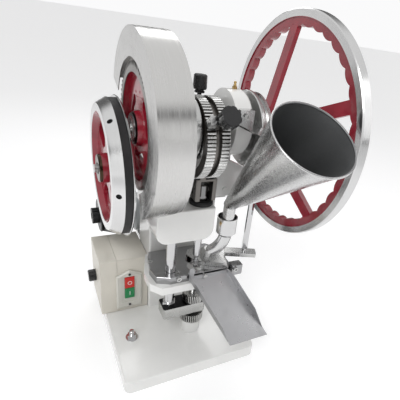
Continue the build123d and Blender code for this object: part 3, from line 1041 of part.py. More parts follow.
# ---------------------------------------------------------------- switch box
def switch_box():
    outer = block(BOX_SEAM_X, BOX_X1, BOX_Y0, BOX_Y1, BASE_H, BOX_Z1)
    outer = fillet(outer.edges().filter_by(Axis.X), 4)
    inner = block(BOX_SEAM_X - 1, BOX_X1 - BOX_WALL, BOX_Y0 + BOX_WALL, BOX_Y1 - BOX_WALL,
                  BASE_H + BOX_WALL, BOX_Z1 - BOX_WALL)
    body = outer - inner
    wells = block(SWITCH_X - BUTTON_HALF_W - 1, SWITCH_X + BUTTON_HALF_W + 1, BOX_Y0 - 1, BOX_Y0 + 8,
                  BUTTON_SPLIT_Z - BUTTON_H - 1, BUTTON_SPLIT_Z + BUTTON_H + 1)
    save("box_body", body - wells)
    cap = block(BOX_X0, BOX_SEAM_X - 0.6, BOX_Y0, BOX_Y1, BASE_H, BOX_Z1)
    cap = fillet(cap.edges().filter_by(Axis.X), 4)
    cap -= block(BOX_X0 + BOX_WALL, BOX_SEAM_X + 1, BOX_Y0 + BOX_WALL, BOX_Y1 - BOX_WALL,
                 BASE_H + BOX_WALL, BOX_Z1 - BOX_WALL)
    cap -= rod_x(4 + RUN, BOX_X0 - 1, BOX_X0 + BOX_WALL + 1, SPEED_Y, SPEED_Z)
    save("box_cover", cap)


def switch_plate():
    """The raised frame around the two push buttons, with a gabled top."""
    w = SWITCH_HALF_W
    outline = [(SWITCH_X - w, SWITCH_Z0), (SWITCH_X + w, SWITCH_Z0), (SWITCH_X + w, SWITCH_EAVE_Z),
               (SWITCH_X, SWITCH_PEAK_Z), (SWITCH_X - w, SWITCH_EAVE_Z)]
    plate = front_plate(outline, BOX_Y0 - SWITCH_PLATE_T, BOX_Y0)
    front = plate.faces().sort_by(Axis.Y)[0]
    plate = chamfer(front.edges(), 3)
    inner = block(SWITCH_X - 19, SWITCH_X + 19, BOX_Y0 - SWITCH_PLATE_T - 1, BOX_Y0 - SWITCH_PLATE_T + 1.5,
                  SWITCH_Z0 + 20, SWITCH_EAVE_Z - 2)
    plate -= inner
    plate -= block(SWITCH_X - BUTTON_HALF_W - 0.4, SWITCH_X + BUTTON_HALF_W + 0.4, BOX_Y0 - SWITCH_PLATE_T - 1,
                   BOX_Y0 + 1, BUTTON_SPLIT_Z - BUTTON_H - 0.4, BUTTON_SPLIT_Z + BUTTON_H + 0.4)
    save("switch_plate", plate)


def buttons():
    front = BOX_Y0 - SWITCH_PLATE_T - BUTTON_OUT + 1.5
    for node, z0 in (("stop_button", BUTTON_SPLIT_Z + 0.3), ("start_button", BUTTON_SPLIT_Z - BUTTON_H)):
        cap = block(SWITCH_X - BUTTON_HALF_W, SWITCH_X + BUTTON_HALF_W, front, BOX_Y0 + 2, z0, z0 + BUTTON_H - 0.3)
        cap = fillet(cap.faces().sort_by(Axis.Y)[0].edges(), 1.5)
        save(node, cap)


def speed_knob():
    knob = turned_x([(BOX_X0 - SPEED_OUT, 0), (BOX_X0 - SPEED_OUT, SPEED_R - 2), (BOX_X0 - SPEED_OUT + 2, SPEED_R),
                     (BOX_X0 - 1, SPEED_R), (BOX_X0 - 1, 4), (BOX_X0 + BOX_WALL + 4, 4), (BOX_X0 + BOX_WALL + 4, 0)],
                    SPEED_Y, SPEED_Z)
    save("speed_knob", knob)


os.makedirs("parts", exist_ok=True)
for make in (base_plate, levelling_screws, column, table_arm, head_casting, shaft_bushes, guide_bushes, dust_boot,
             countershaft_flange, feeder_bracket, grease_nipple, gear_guard, cover_screws, belt_pulley, v_belt,
             pinion_shaft, motor, motor_mount, motor_drive, main_shaft, bull_gear, ejection_cam, feed_cam,
             handwheel, connecting_rod, clamp_and_oiler, slide_and_punch, die_table, frame_screws, die, lifting_gear,
             lower_punch_train, feed_shoe, feed_tube, feeder_arm, hopper, hopper_bracket, chute, switch_box,
             switch_plate, buttons, speed_knob):
    make()
bearing_housing("left_bearing_housing", LEFT_PED_X0, LEFT_PED_X1, -1)
bearing_housing("right_bearing_housing", RIGHT_PED_X0, RIGHT_PED_X1, 1)
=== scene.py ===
import json
from math import cos, pi, radians, sin

import bmesh
import bpy
from mathutils import Matrix, Vector


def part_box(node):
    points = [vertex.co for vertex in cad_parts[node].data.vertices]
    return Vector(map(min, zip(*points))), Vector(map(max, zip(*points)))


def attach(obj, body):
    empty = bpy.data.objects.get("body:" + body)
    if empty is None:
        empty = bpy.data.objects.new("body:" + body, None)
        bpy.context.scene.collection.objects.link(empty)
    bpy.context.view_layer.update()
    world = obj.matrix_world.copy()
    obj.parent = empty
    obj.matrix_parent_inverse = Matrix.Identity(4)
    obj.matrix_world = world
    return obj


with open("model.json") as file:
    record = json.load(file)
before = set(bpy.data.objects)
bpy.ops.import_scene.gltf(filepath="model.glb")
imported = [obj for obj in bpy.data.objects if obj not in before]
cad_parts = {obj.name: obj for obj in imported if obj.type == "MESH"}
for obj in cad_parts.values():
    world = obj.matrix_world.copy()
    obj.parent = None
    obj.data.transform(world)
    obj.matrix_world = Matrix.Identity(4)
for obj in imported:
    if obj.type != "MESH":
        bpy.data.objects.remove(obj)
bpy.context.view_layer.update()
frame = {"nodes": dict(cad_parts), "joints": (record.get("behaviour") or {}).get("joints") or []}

# Looks of a bench single-punch tablet press, in metres, in the frame of its CAD nodes.

NODES = frame["nodes"]
JOINTS = {joint["name"]: joint for joint in frame["joints"]}


def axis_of(joint):
    """A point on a joint's axis."""
    return Vector(JOINTS[joint]["pos_m"])


MAIN = axis_of("main_shaft_turn")
ECCENTRIC = axis_of("connecting_rod_turn")
COUNTER = axis_of("countershaft_turn")
MOTOR = axis_of("motor_turn")

# ---------------------------------------------------------------- shader groups


class Graph:
    """A short way to place and link shader nodes."""

    def __init__(self, tree):
        self.tree = tree

    def add(self, kind, **settings):
        node = self.tree.nodes.new("ShaderNode" + kind)
        for name, value in settings.items():
            setattr(node, name, value)
        return node

    def link(self, source, target):
        self.tree.links.new(source, target)

    def feed(self, socket, value):
        """Link a socket, or set a plain value on it."""
        if isinstance(value, bpy.types.NodeSocket):
            self.link(value, socket)
        else:
            socket.default_value = value

    def math(self, operation, first, second=0.0, third=0.0, clamp=False):
        node = self.add("Math", operation=operation, use_clamp=clamp)
        for index, value in enumerate((first, second, third)):
            self.feed(node.inputs[index], value)
        return node.outputs[0]

    def vector(self, operation, first, second=(0, 0, 0), output=0):
        node = self.add("VectorMath", operation=operation)
        self.feed(node.inputs[0], first)
        self.feed(node.inputs[1], second)
        return node.outputs[output]

    def noise(self, where, scale, detail=3.0, rough=0.5, output="Fac"):
        node = self.add("TexNoise")
        self.feed(node.inputs["Vector"], where)
        self.feed(node.inputs["Scale"], scale)
        self.feed(node.inputs["Detail"], detail)
        self.feed(node.inputs["Roughness"], rough)
        return node.outputs[output]

    def ramp(self, value, low, high, new_low=0.0, new_high=1.0, smooth=True):
        node = self.add("MapRange", interpolation_type="SMOOTHSTEP" if smooth else "LINEAR")
        for name, item in (("Value", value), ("From Min", low), ("From Max", high),
                           ("To Min", new_low), ("To Max", new_high)):
            self.feed(node.inputs[name], item)
        return node.outputs["Result"]

    def mix(self, factor, first, second):
        """A colour between two."""
        node = self.add("Mix", data_type="RGBA")
        self.feed(node.inputs["Factor"], factor)
        self.feed(node.inputs[6], first)
        self.feed(node.inputs[7], second)
        return node.outputs[2]

    def blend(self, factor, first, second):
        """A number between two."""
        node = self.add("Mix", data_type="FLOAT")
        self.feed(node.inputs[0], factor)
        self.feed(node.inputs[2], first)
        self.feed(node.inputs[3], second)
        return node.outputs[0]


def new_group(name, inputs, outputs):
    """A shader node group with named sockets, and a Graph to fill it."""
    tree = bpy.data.node_groups.new(name, "ShaderNodeTree")
    for label, kind, value in inputs:
        socket = tree.interface.new_socket(name=label, in_out="INPUT", socket_type="NodeSocket" + kind)
        socket.default_value = value
    for label, kind in outputs:
        tree.interface.new_socket(name=label, in_out="OUTPUT", socket_type="NodeSocket" + kind)
    graph = Graph(tree)
    start = tree.nodes.new("NodeGroupInput").outputs
    end = tree.nodes.new("NodeGroupOutput").inputs
    return graph, start, end


def make_turned_lines():
    """Fine rings left by turning or circular polishing about an axis along X."""
    graph, given, out = new_group(
        "Turned lines",
        [("Centre", "Vector", (0, 0, 0)), ("Lines per metre", "Float", 900.0), ("Depth", "Float", 0.5)],
        [("Tone", "Float"), ("Height", "Float"), ("Radius", "Float"), ("Along", "Float")])
    where = graph.add("TexCoord").outputs["Object"]
    offset = graph.vector("SUBTRACT", where, given["Centre"])
    flat = graph.vector("MULTIPLY", offset, (0, 1, 1))
    radius = graph.vector("LENGTH", flat, output=1)
    split = graph.add("SeparateXYZ")
    graph.link(offset, split.inputs[0])
    slow = graph.noise(graph.vector("MULTIPLY", offset, (6, 6, 6)), 1.0, 1.0)
    spread = graph.add("CombineXYZ")
    graph.link(graph.math("MULTIPLY", split.outputs["X"], given["Lines per metre"]), spread.inputs[0])
    graph.link(graph.math("MULTIPLY", radius, given["Lines per metre"]), spread.inputs[1])
    graph.link(graph.math("MULTIPLY", slow, 4.0), spread.inputs[2])
    fine = graph.noise(spread.outputs[0], 1.0, 4.0, 0.7)
    centred = graph.math("SUBTRACT", fine, 0.5)
    graph.link(graph.math("MULTIPLY_ADD", centred, given["Depth"], 1.0), out["Tone"])
    graph.link(fine, out["Height"])
    graph.link(radius, out["Radius"])
    graph.link(split.outputs["X"], out["Along"])
    return graph.tree


def make_long_grain():
    """Straight brushing, drawn out along one direction."""
    graph, given, out = new_group(
        "Long grain",
        [("Stretch", "Vector", (900, 900, 12)), ("Depth", "Float", 0.4)],
        [("Tone", "Float"), ("Height", "Float")])
    where = graph.add("TexCoord").outputs["Object"]
    fine = graph.noise(graph.vector("MULTIPLY", where, given["Stretch"]), 1.0, 3.0, 0.65)
    centred = graph.math("SUBTRACT", fine, 0.5)
    graph.link(graph.math("MULTIPLY_ADD", centred, given["Depth"], 1.0), out["Tone"])
    graph.link(fine, out["Height"])
    return graph.tree


def make_smudges():
    """Soft handling marks and dust: a slow mask and a speckled one."""
    graph, given, out = new_group(
        "Smudges",
        [("Size", "Float", 0.06), ("Strength", "Float", 0.5)],
        [("Mask", "Float"), ("Specks", "Float")])
    where = graph.add("TexCoord").outputs["Object"]
    scale = graph.math("DIVIDE", 1.0, given["Size"])
    slow = graph.noise(where, scale, 4.0, 0.55)
    graph.link(graph.math("MULTIPLY", graph.ramp(slow, 0.42, 0.72), given["Strength"]), out["Mask"])
    fine = graph.noise(where, graph.math("MULTIPLY", scale, 26.0), 2.0, 0.6)
    graph.link(graph.math("MULTIPLY", graph.ramp(fine, 0.62, 0.74), given["Strength"]), out["Specks"])
    return graph.tree


def make_peel():
    """The slight ripple of sprayed enamel over a casting."""
    graph, given, out = new_group(
        "Paint ripple",
        [("Ripple size", "Float", 0.004), ("Casting size", "Float", 0.03)],
        [("Height", "Float"), ("Tone", "Float")])
    where = graph.add("TexCoord").outputs["Object"]
    ripple = graph.noise(where, graph.math("DIVIDE", 1.0, given["Ripple size"]), 2.0, 0.4)
    casting = graph.noise(where, graph.math("DIVIDE", 1.0, given["Casting size"]), 3.0, 0.5)
    graph.link(graph.math("MULTIPLY_ADD", casting, 2.0, ripple), out["Height"])
    graph.link(casting, out["Tone"])
    return graph.tree


def make_rings():
    """How far a point is from an axis along X, and 1 between two radii."""
    graph, given, out = new_group(
        "Between radii",
        [("Centre", "Vector", (0, 0, 0)), ("Inner", "Float", 0.0), ("Outer", "Float", 1.0)],
        [("Mask", "Float")])
    where = graph.add("TexCoord").outputs["Object"]
    flat = graph.vector("MULTIPLY", graph.vector("SUBTRACT", where, given["Centre"]), (0, 1, 1))
    radius = graph.vector("LENGTH", flat, output=1)
    over = graph.math("GREATER_THAN", radius, given["Inner"])
    under = graph.math("LESS_THAN", radius, given["Outer"])
    graph.link(graph.math("MULTIPLY", over, under), out["Mask"])
    return graph.tree


def make_axis_side():
    """1 on faces that look towards a line, as the inside of a cone or tube does."""
    graph, given, out = new_group(
        "Inside of a tube",
        [("Point", "Vector", (0, 0, 0)), ("Direction", "Vector", (0, 0, 1))],
        [("Mask", "Float")])
    where = graph.vector("SUBTRACT", graph.add("TexCoord").outputs["Object"], given["Point"])
    along = graph.vector("DOT_PRODUCT", where, given["Direction"], output=1)
    on_line = graph.add("VectorMath", operation="SCALE")
    graph.link(given["Direction"], on_line.inputs[0])
    graph.link(along, on_line.inputs["Scale"])
    away = graph.vector("SUBTRACT", where, on_line.outputs[0])
    facing = graph.vector("DOT_PRODUCT", away, graph.add("NewGeometry").outputs["True Normal"], output=1)
    graph.link(graph.math("LESS_THAN", facing, 0.0), out["Mask"])
    return graph.tree


def make_upward():
    """1 on faces that look up."""
    graph, given, out = new_group("Upward faces", [("From", "Float", 0.7)], [("Mask", "Float")])
    split = graph.add("SeparateXYZ")
    graph.link(graph.add("TexCoord").outputs["Normal"], split.inputs[0])
    graph.link(graph.math("GREATER_THAN", split.outputs["Z"], given["From"]), out["Mask"])
    return graph.tree


GROUPS = {
    "inside": make_axis_side(),
    "upward": make_upward(),
    "turned": make_turned_lines(),
    "grain": make_long_grain(),
    "smudge": make_smudges(),
    "peel": make_peel(),
    "rings": make_rings(),
}


# ---------------------------------------------------------------- materials


class Finish(Graph):
    """A material under construction: one Principled shader and what feeds it."""

    def __init__(self, name, **constants):
        self.material = bpy.data.materials.new(name)
        self.material.use_nodes = True
        super().__init__(self.material.node_tree)
        self.shader = self.tree.nodes["Principled BSDF"]
        for label, value in constants.items():
            self.shader.inputs[label.replace("_", " ")].default_value = value

    def group(self, key, **values):
        node = self.tree.nodes.new("ShaderNodeGroup")
        node.node_tree = GROUPS[key]
        for label, value in values.items():
            self.feed(node.inputs[label.replace("_", " ")], value)
        return node.outputs

    def set(self, label, value):
        self.feed(self.shader.inputs[label], value)

    def bump(self, height, distance, strength=1.0):
        node = self.add("Bump")
        node.inputs["Strength"].default_value = strength
        node.inputs["Distance"].default_value = distance
        self.feed(node.inputs["Height"], height)
        self.link(node.outputs["Normal"], self.shader.inputs["Normal"])

    def tint(self, colour, tone):
        """A colour made lighter or darker by a number near 1."""
        node = self.add("VectorMath", operation="SCALE")
        self.feed(node.inputs[0], colour)
        self.feed(node.inputs["Scale"], tone)
        return node.outputs[0]


def enamel(name, colour, rough=0.2, ripple=0.00008):
    """Gloss paint over a casting."""
    finish = Finish(name, Coat_Roughness=0.06, Coat_IOR=1.5)
    finish.shader.inputs["Coat Weight"].default_value = 0.35
    peel = finish.group("peel")
    marks = finish.group("smudge", Size=0.05, Strength=0.5)
    shade = finish.ramp(peel["Tone"], 0.3, 0.7, 0.985, 1.01)
    dull = finish.math("MULTIPLY_ADD", marks["Specks"], -0.04, shade)
    finish.set("Base Color", finish.tint(colour, dull))
    finish.set("Roughness", finish.math("MULTIPLY_ADD", marks["Mask"], 0.07, rough))
    finish.bump(peel["Height"], ripple)
    return finish.material


def turned_metal(name, colour, centre, rough=0.18, lines=1400.0, depth=0.25, height=0.000012):
    """Metal turned or polished in rings about an axis along X."""
    finish = Finish(name, Metallic=1.0)
    rings = finish.group("turned", Centre=centre, Lines_per_metre=lines, Depth=depth)
    marks = finish.group("smudge", Size=0.045, Strength=0.7)
    finish.set("Base Color", finish.tint(colour, rings["Tone"]))
    streak = finish.ramp(rings["Height"], 0.3, 0.7, rough * 0.75, rough * 1.4)
    finish.set("Roughness", finish.math("MULTIPLY_ADD", marks["Mask"], 0.12, streak))
    finish.bump(rings["Height"], height)
    return finish.material


def brushed_metal(name, colour, stretch, rough=0.24, depth=0.2, height=0.00001):
    """Metal brushed in straight lines; stretch is small along the lines."""
    finish = Finish(name, Metallic=1.0)
    grain = finish.group("grain", Stretch=stretch, Depth=depth)
    marks = finish.group("smudge", Size=0.04, Strength=0.7)
    finish.set("Base Color", finish.tint(colour, grain["Tone"]))
    streak = finish.ramp(grain["Height"], 0.3, 0.7, rough * 0.8, rough * 1.35)
    finish.set("Roughness", finish.math("MULTIPLY_ADD", marks["Mask"], 0.14, streak))
    finish.bump(grain["Height"], height)
    return finish.material


def plastic(name, colour, rough=0.3, grain_size=0.0012, depth=0.00005):
    """Moulded plastic with a fine spark-eroded texture."""
    finish = Finish(name)
    peel = finish.group("peel", Ripple_size=grain_size, Casting_size=0.05)
    marks = finish.group("smudge", Size=0.03, Strength=0.6)
    shade = finish.ramp(peel["Tone"], 0.3, 0.7, 0.96, 1.03)
    finish.set("Base Color", finish.tint(colour, shade))
    finish.set("Roughness", finish.math("MULTIPLY_ADD", marks["Mask"], 0.15, rough))
    finish.bump(peel["Height"], depth)
    return finish.material


def rubber(name, colour=(0.012, 0.012, 0.013), rough=0.55):
    finish = Finish(name)
    marks = finish.group("smudge", Size=0.02, Strength=0.8)
    dusty = finish.mix(finish.math("MULTIPLY", marks["Specks"], 0.35), (*colour, 1), (0.09, 0.085, 0.08, 1))
    finish.set("Base Color", dusty)
    finish.set("Roughness", finish.math("MULTIPLY_ADD", marks["Mask"], 0.2, rough))
    finish.bump(marks["Specks"], 0.0001)
    return finish.material


def painted_wheel(name, centre, steel, paint, bands, steel_rough=0.16, hub=None):
    """Bright turned steel and red enamel on one casting. bands are the radii between which it is painted."""
    finish = Finish(name)
    rings = finish.group("turned", Centre=centre, Lines_per_metre=1500.0, Depth=0.28)
    peel = finish.group("peel", Ripple_size=0.005, Casting_size=0.03)
    marks = finish.group("smudge", Size=0.04, Strength=0.6)
    red = finish.group("rings", Centre=centre, Inner=bands[0], Outer=bands[1])["Mask"]
    metal = finish.tint(steel, rings["Tone"])
    if hub is not None:
        inside = finish.group("rings", Centre=centre, Inner=-1.0, Outer=bands[0])["Mask"]
        metal = finish.mix(inside, metal, (*hub, 1))
    colour = finish.tint(paint, finish.ramp(peel["Tone"], 0.3, 0.7, 0.85, 1.1))
    finish.set("Base Color", finish.mix(red, metal, colour))
    finish.set("Metallic", finish.math("SUBTRACT", 1.0, red))
    bare = finish.ramp(rings["Height"], 0.3, 0.7, steel_rough * 0.7, steel_rough * 1.5)
    glossy = finish.blend(red, bare, 0.17)
    finish.set("Roughness", finish.math("MULTIPLY_ADD", marks["Mask"], 0.1, glossy))
    finish.set("Coat Weight", finish.math("MULTIPLY", red, 0.5))
    finish.bump(finish.blend(red, rings["Height"], finish.math("MULTIPLY", peel["Height"], 4.0)), 0.000015)
    return finish.material


def sheet_shaded_inside(name, colour, inner_shade, point, direction, stretch, rough=0.24):
    """Brushed sheet whose inner side is duller and painted darker: painted shade inside the cone or tube."""
    finish = Finish(name, Metallic=1.0)
    grain = finish.group("grain", Stretch=stretch, Depth=0.16)
    marks = finish.group("smudge", Size=0.09, Strength=0.35)
    inner = finish.group("inside", Point=point, Direction=direction)["Mask"]
    worn = finish.math("MULTIPLY_ADD", marks["Mask"], -0.08, grain["Tone"])
    # Inner faces take the darker second colour: painted shade inside the hopper.
    finish.set("Base Color", finish.tint(finish.mix(inner, (*colour, 1), (*inner_shade, 1)), worn))
    streak = finish.ramp(grain["Height"], 0.3, 0.7, rough * 0.8, rough * 1.3)
    finish.set("Roughness", finish.blend(inner, streak, 0.46))
    finish.bump(grain["Height"], 0.000002)
    return finish.material


def toothed_steel(name, colour, gap, centre, tip_radius, gap_depth, darker_before=None):
    """Steel teeth round an axis along X, with painted shade between them, and one side painted dark for
    grease and painted shade.
    """
    finish = Finish(name, Metallic=1.0)
    rings = finish.group("turned", Centre=centre, Lines_per_metre=900.0, Depth=0.2)
    marks = finish.group("smudge", Size=0.02, Strength=0.8)
    # Below the tooth tips the colour turns dark: painted shade in the gaps between teeth.
    low = finish.math("LESS_THAN", rings["Radius"], tip_radius - gap_depth)
    darkened = low
    # Before the given X the side is painted dark too: grease, and painted shade in the gap by the guard.
    if darker_before is not None:
        side = finish.math("LESS_THAN", rings["Along"], darker_before)
        darkened = finish.math("MAXIMUM", low, side)
    bright = finish.tint(colour, rings["Tone"])
    finish.set("Base Color", finish.mix(darkened, bright, (*gap, 1)))
    finish.set("Metallic", finish.blend(darkened, 1.0, 0.5))
    finish.set("Roughness", finish.blend(darkened, finish.math("MULTIPLY_ADD", marks["Mask"], 0.15, 0.2), 0.38))
    finish.bump(marks["Specks"], 0.00003)
    return finish.material


def knurled_steel(name, colour, gap, centre, tip_radius, gap_depth):
    """Steel teeth round an upright axis, with painted shade in the gaps between them."""
    finish = Finish(name, Metallic=1.0)
    where = finish.vector("SUBTRACT", finish.add("TexCoord").outputs["Object"], centre)
    radius = finish.vector("LENGTH", finish.vector("MULTIPLY", where, (1, 1, 0)), output=1)
    low = finish.math("LESS_THAN", radius, tip_radius - gap_depth)
    up = finish.group("upward", From=0.7)["Mask"]
    # Gaps on faces that do not look up get the dark colour: painted shade between teeth.
    darkened = finish.math("MULTIPLY", low, finish.math("SUBTRACT", 1.0, up))
    marks = finish.group("smudge", Size=0.02, Strength=0.8)
    grain = finish.group("grain", Stretch=(500, 500, 60), Depth=0.2)
    finish.set("Base Color", finish.mix(darkened, finish.tint(colour, grain["Tone"]), (*gap, 1)))
    finish.set("Roughness", finish.math("MULTIPLY_ADD", marks["Mask"], 0.15, 0.22))
    finish.bump(marks["Specks"], 0.00003)
    return finish.material


def topped_steel(name, side, top):
    """Ground steel whose upward faces are coloured near black."""
    finish = Finish(name, Metallic=1.0)
    up = finish.group("upward", From=0.7)["Mask"]
    grain = finish.group("grain", Stretch=(60, 700, 700), Depth=0.25)
    marks = finish.group("smudge", Size=0.03, Strength=0.8)
    # Upward faces take the near-black top colour.
    finish.set("Base Color", finish.tint(finish.mix(up, (*side, 1), (*top, 1)), grain["Tone"]))
    finish.set("Roughness", finish.math("MULTIPLY_ADD", marks["Mask"], 0.15, finish.blend(up, 0.2, 0.34)))
    finish.bump(grain["Height"], 0.00001)
    return finish.material


STEEL = (0.52, 0.52, 0.515)
# Dark colour for tooth gaps and the rings' side: painted shade, with grease on the side.
SHADE_AND_GREASE = (0.035, 0.03, 0.024)
GEAR_STEEL = (0.5, 0.5, 0.49)
PUNCH_AXIS = Vector((0, 0, 0))
RING_TIP, RING_LEFT_SIDE = 0.0755, -0.0312      # the adjusting rings' tip radius, and the X before which their side is painted dark for grease and painted shade
UPPER_GEAR_TIP, LOWER_GEAR_TIP = 0.025, 0.028
HOPPER_FROM, HOPPER_TO = Vector((0.065, -0.007, 0.366)), Vector((0.082, -0.204, 0.571))
BRIGHT = (0.62, 0.62, 0.62)
RED = (0.27, 0.012, 0.026)
WHITE = (0.80, 0.80, 0.785)

FINISHES = {
    "white enamel": enamel("White enamel", WHITE),
    "motor grey": enamel("Motor grey paint", (0.30, 0.32, 0.33), 0.35),
    "guard": turned_metal("Guard stainless", (0.60, 0.595, 0.585), MAIN, 0.2, 900.0, 0.12, 0.000002),
    "shaft steel": turned_metal("Turned steel", STEEL, MAIN, 0.2),
    "rod head": turned_metal("Eccentric sleeve steel", STEEL, ECCENTRIC, 0.22),
    "motor steel": turned_metal("Motor shaft steel", STEEL, MOTOR, 0.25),
    "counter steel": turned_metal("Countershaft steel", STEEL, COUNTER, 0.25),
    "black pulley": turned_metal("Blackened pulley", (0.035, 0.035, 0.037), MOTOR, 0.32, 900.0, 0.4),
    "sheet": brushed_metal("Brushed chute sheet", (0.42, 0.42, 0.43), (90, 8, 90), 0.3, 0.14, 0.000004),
    # The hopper's inner faces are painted darker: painted shade inside it.
    "hopper": sheet_shaded_inside("Hopper sheet", (0.60, 0.60, 0.60), (0.30, 0.305, 0.31), HOPPER_FROM,
                          (HOPPER_TO - HOPPER_FROM).normalized(), (260, 260, 260)),
    "table": brushed_metal("Polished table steel", (0.34, 0.34, 0.345), (20, 700, 700), 0.09, 0.12),
    "teeth": toothed_steel("Adjusting ring teeth", (0.66, 0.66, 0.65), SHADE_AND_GREASE, ECCENTRIC, RING_TIP, 0.0018,
                           RING_LEFT_SIDE),
    "upper teeth": knurled_steel("Fill gear teeth", GEAR_STEEL, SHADE_AND_GREASE, PUNCH_AXIS, UPPER_GEAR_TIP, 0.0012),
    "lower teeth": knurled_steel("Ejection gear teeth", GEAR_STEEL, SHADE_AND_GREASE, PUNCH_AXIS, LOWER_GEAR_TIP, 0.0012),
    "lifting bar": topped_steel("Lifting bar steel", (0.55, 0.55, 0.54), (0.03, 0.03, 0.032)),
    # The strap is coloured much darker than the other steel, as dark as the groove between the rings it sits
    # in.
    "strap": turned_metal("Oily strap steel", (0.17, 0.16, 0.15), ECCENTRIC, 0.3),
    # The slide rod is coloured dark steel.
    "slide": brushed_metal("Oiled slide rod", (0.22, 0.22, 0.22), (600, 600, 30), 0.14, 0.1, 0.000004),
    "ground steel": brushed_metal("Ground steel", BRIGHT, (20, 900, 900), 0.16),
    "chrome": brushed_metal("Polished bar", (0.58, 0.58, 0.585), (600, 600, 30), 0.07, 0.06, 0.000003),
    "rod steel": brushed_metal("Machined steel", STEEL, (500, 500, 60), 0.22),
    "dark steel": brushed_metal("Blackened steel", (0.05, 0.05, 0.052), (500, 60, 500), 0.3),
    "bronze": turned_metal("Bearing bronze", (0.55, 0.38, 0.16), MAIN, 0.25),
    "brass": brushed_metal("Turned brass", (0.66, 0.47, 0.20), (300, 300, 900), 0.2),
    "box plastic": plastic("Switch box plastic", (0.66, 0.63, 0.56), 0.38),
    "switch plastic": plastic("Switch frame plastic", (0.60, 0.59, 0.54), 0.33),
    "black plastic": plastic("Black plastic", (0.012, 0.012, 0.013), 0.25),
    "red plastic": plastic("Red button", (0.55, 0.02, 0.015), 0.22),
    "green plastic": plastic("Green button", (0.01, 0.22, 0.07), 0.22),
    "mark white": plastic("White button mark", (0.85, 0.85, 0.83), 0.35),
    "cap metal": turned_metal("Speed knob cap", (0.7, 0.7, 0.7), Vector((0, 0.182, 0.102)), 0.2, 1200.0, 0.2),
    "rubber": rubber("Belt rubber"),
    "handwheel": painted_wheel("Handwheel", MAIN, BRIGHT, RED, (-1.0, 0.2047)),
    "pulley": painted_wheel("Belt pulley", COUNTER, (0.66, 0.66, 0.66), RED, (0.0275, 0.1055),
                            hub=(0.06, 0.04, 0.025)),
    "bull gear": painted_wheel("Bull gear", MAIN, (0.26, 0.25, 0.24), RED, (0.0275, 0.0885), 0.25,
                               hub=(0.02, 0.02, 0.02)),
}

COATS = {
    "base_plate": "white enamel", "column": "white enamel", "table_arm": "white enamel",
    "head_casting": "white enamel", "left_bearing_housing": "white enamel",
    "right_bearing_housing": "white enamel", "feeder_bracket": "white enamel", "motor_mount": "white enamel",
    "levelling_screws": "chrome", "shaft_bushes": "bronze", "guide_bushes": "bronze", "gear_guard": "guard",
    "cover_screws": "dark steel", "v_belt": "rubber", "motor_body": "motor grey",
    "motor_fan_cover": "black plastic",
    "box_body": "box plastic", "box_cover": "box plastic", "switch_plate": "switch plastic",
    "die_table": "table", "die": "ground steel", "frame_screws": "rod steel", "chute": "sheet",
    "hopper": "hopper", "hopper_bracket": "ground steel", "grease_nipple": "brass", "dust_boot": "rubber",
    "countershaft_flange": "counter steel", "main_shaft": "shaft steel", "bull_gear": "bull gear",
    "ejection_cam": "shaft steel", "feed_cam": "shaft steel", "handwheel": "handwheel",
    "eccentric_sleeve": "rod head", "adjusting_rings": "teeth", "connecting_strap": "strap",
    "oil_cup": "black plastic", "clamp_stem": "rod steel", "star_knob": "black plastic", "slide_rod": "slide",
    "upper_punch": "chrome", "lifting_rod": "chrome", "follower_yoke": "rod steel",
    "lifting_bar": "lifting bar",
    "lower_punch": "chrome", "upper_adjusting_gear": "upper teeth", "lower_adjusting_gear": "lower teeth",
    "pinion_shaft": "counter steel", "belt_pulley": "pulley", "motor_shaft": "motor steel",
    "motor_pulley": "black pulley", "feed_shoe": "rod steel", "feed_tube": "ground steel",
    "feeder_arm": "rod steel", "hex_shaft": "chrome", "cam_rocker": "rod steel", "stop_button": "red plastic",
    "start_button": "green plastic", "speed_knob": "black plastic",
}


def coat(thing, key):
    """Give every face of a thing one finish."""
    thing.data.materials.clear()
    thing.data.materials.append(FINISHES[key])


for node_name, key in COATS.items():
    coat(NODES[node_name], key)

# ---------------------------------------------------------------- small pieces
MM = 0.001
RIM_HOLES, RIM_HOLE_START, RIM_HOLE_X = 6, 121.6, -171.7 * MM
RIM_HOLE_FLOOR = 114.2 * MM       # radius of the bottom of the pulley's rim holes
MOUNT_SCREW_X, MOUNT_SCREW_Y = (-42 * MM, 52 * MM), 40 * MM
MOUNT_FOOT_TOP = 39 * MM
MOTOR_SCREW_X, MOTOR_SCREW_Y = (-50 * MM, 60 * MM), 40.5 * MM
MOTOR_FOOT_TOP = 193 * MM
LEFT, FORWARD, UP = Vector((-1, 0, 0)), Vector((0, -1, 0)), Vector((0, 0, 1))


def add_piece(name, work, key, body, smooth_below=radians(40)):
    """Turn a bmesh into a piece that rides on a body."""
    mesh = bpy.data.meshes.new(name)
    bmesh.ops.recalc_face_normals(work, faces=work.faces)
    work.to_mesh(mesh)
    work.free()
    mesh.materials.append(FINISHES[key])
    mesh.shade_smooth()
    mesh.set_sharp_from_angle(angle=smooth_below)
    piece = bpy.data.objects.new(name, mesh)
    bpy.context.scene.collection.objects.link(piece)
    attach(piece, body)
    return piece


def lathe(profile, place, axis, sides=40):
    """A bmesh turned from (radius, height) points about an axis through a place."""
    work = bmesh.new()
    turn = Vector((0, 0, 1)).rotation_difference(axis).to_matrix().to_4x4()
    rings = []
    for radius, height in profile:
        if radius == 0:
            rings.append([work.verts.new((0, 0, height))])
            continue
        spots = [2 * pi * index / sides for index in range(sides)]
        rings.append([work.verts.new((radius * cos(a), radius * sin(a), height)) for a in spots])
    for low, high in zip(rings, rings[1:]):
        for index in range(sides):
            after = (index + 1) % sides
            corners = [low[index % len(low)], low[after % len(low)]]
            corners += [high[after % len(high)], high[index % len(high)]]
            work.faces.new(list(dict.fromkeys(corners)))
    work.transform(Matrix.Translation(place) @ turn)
    return work


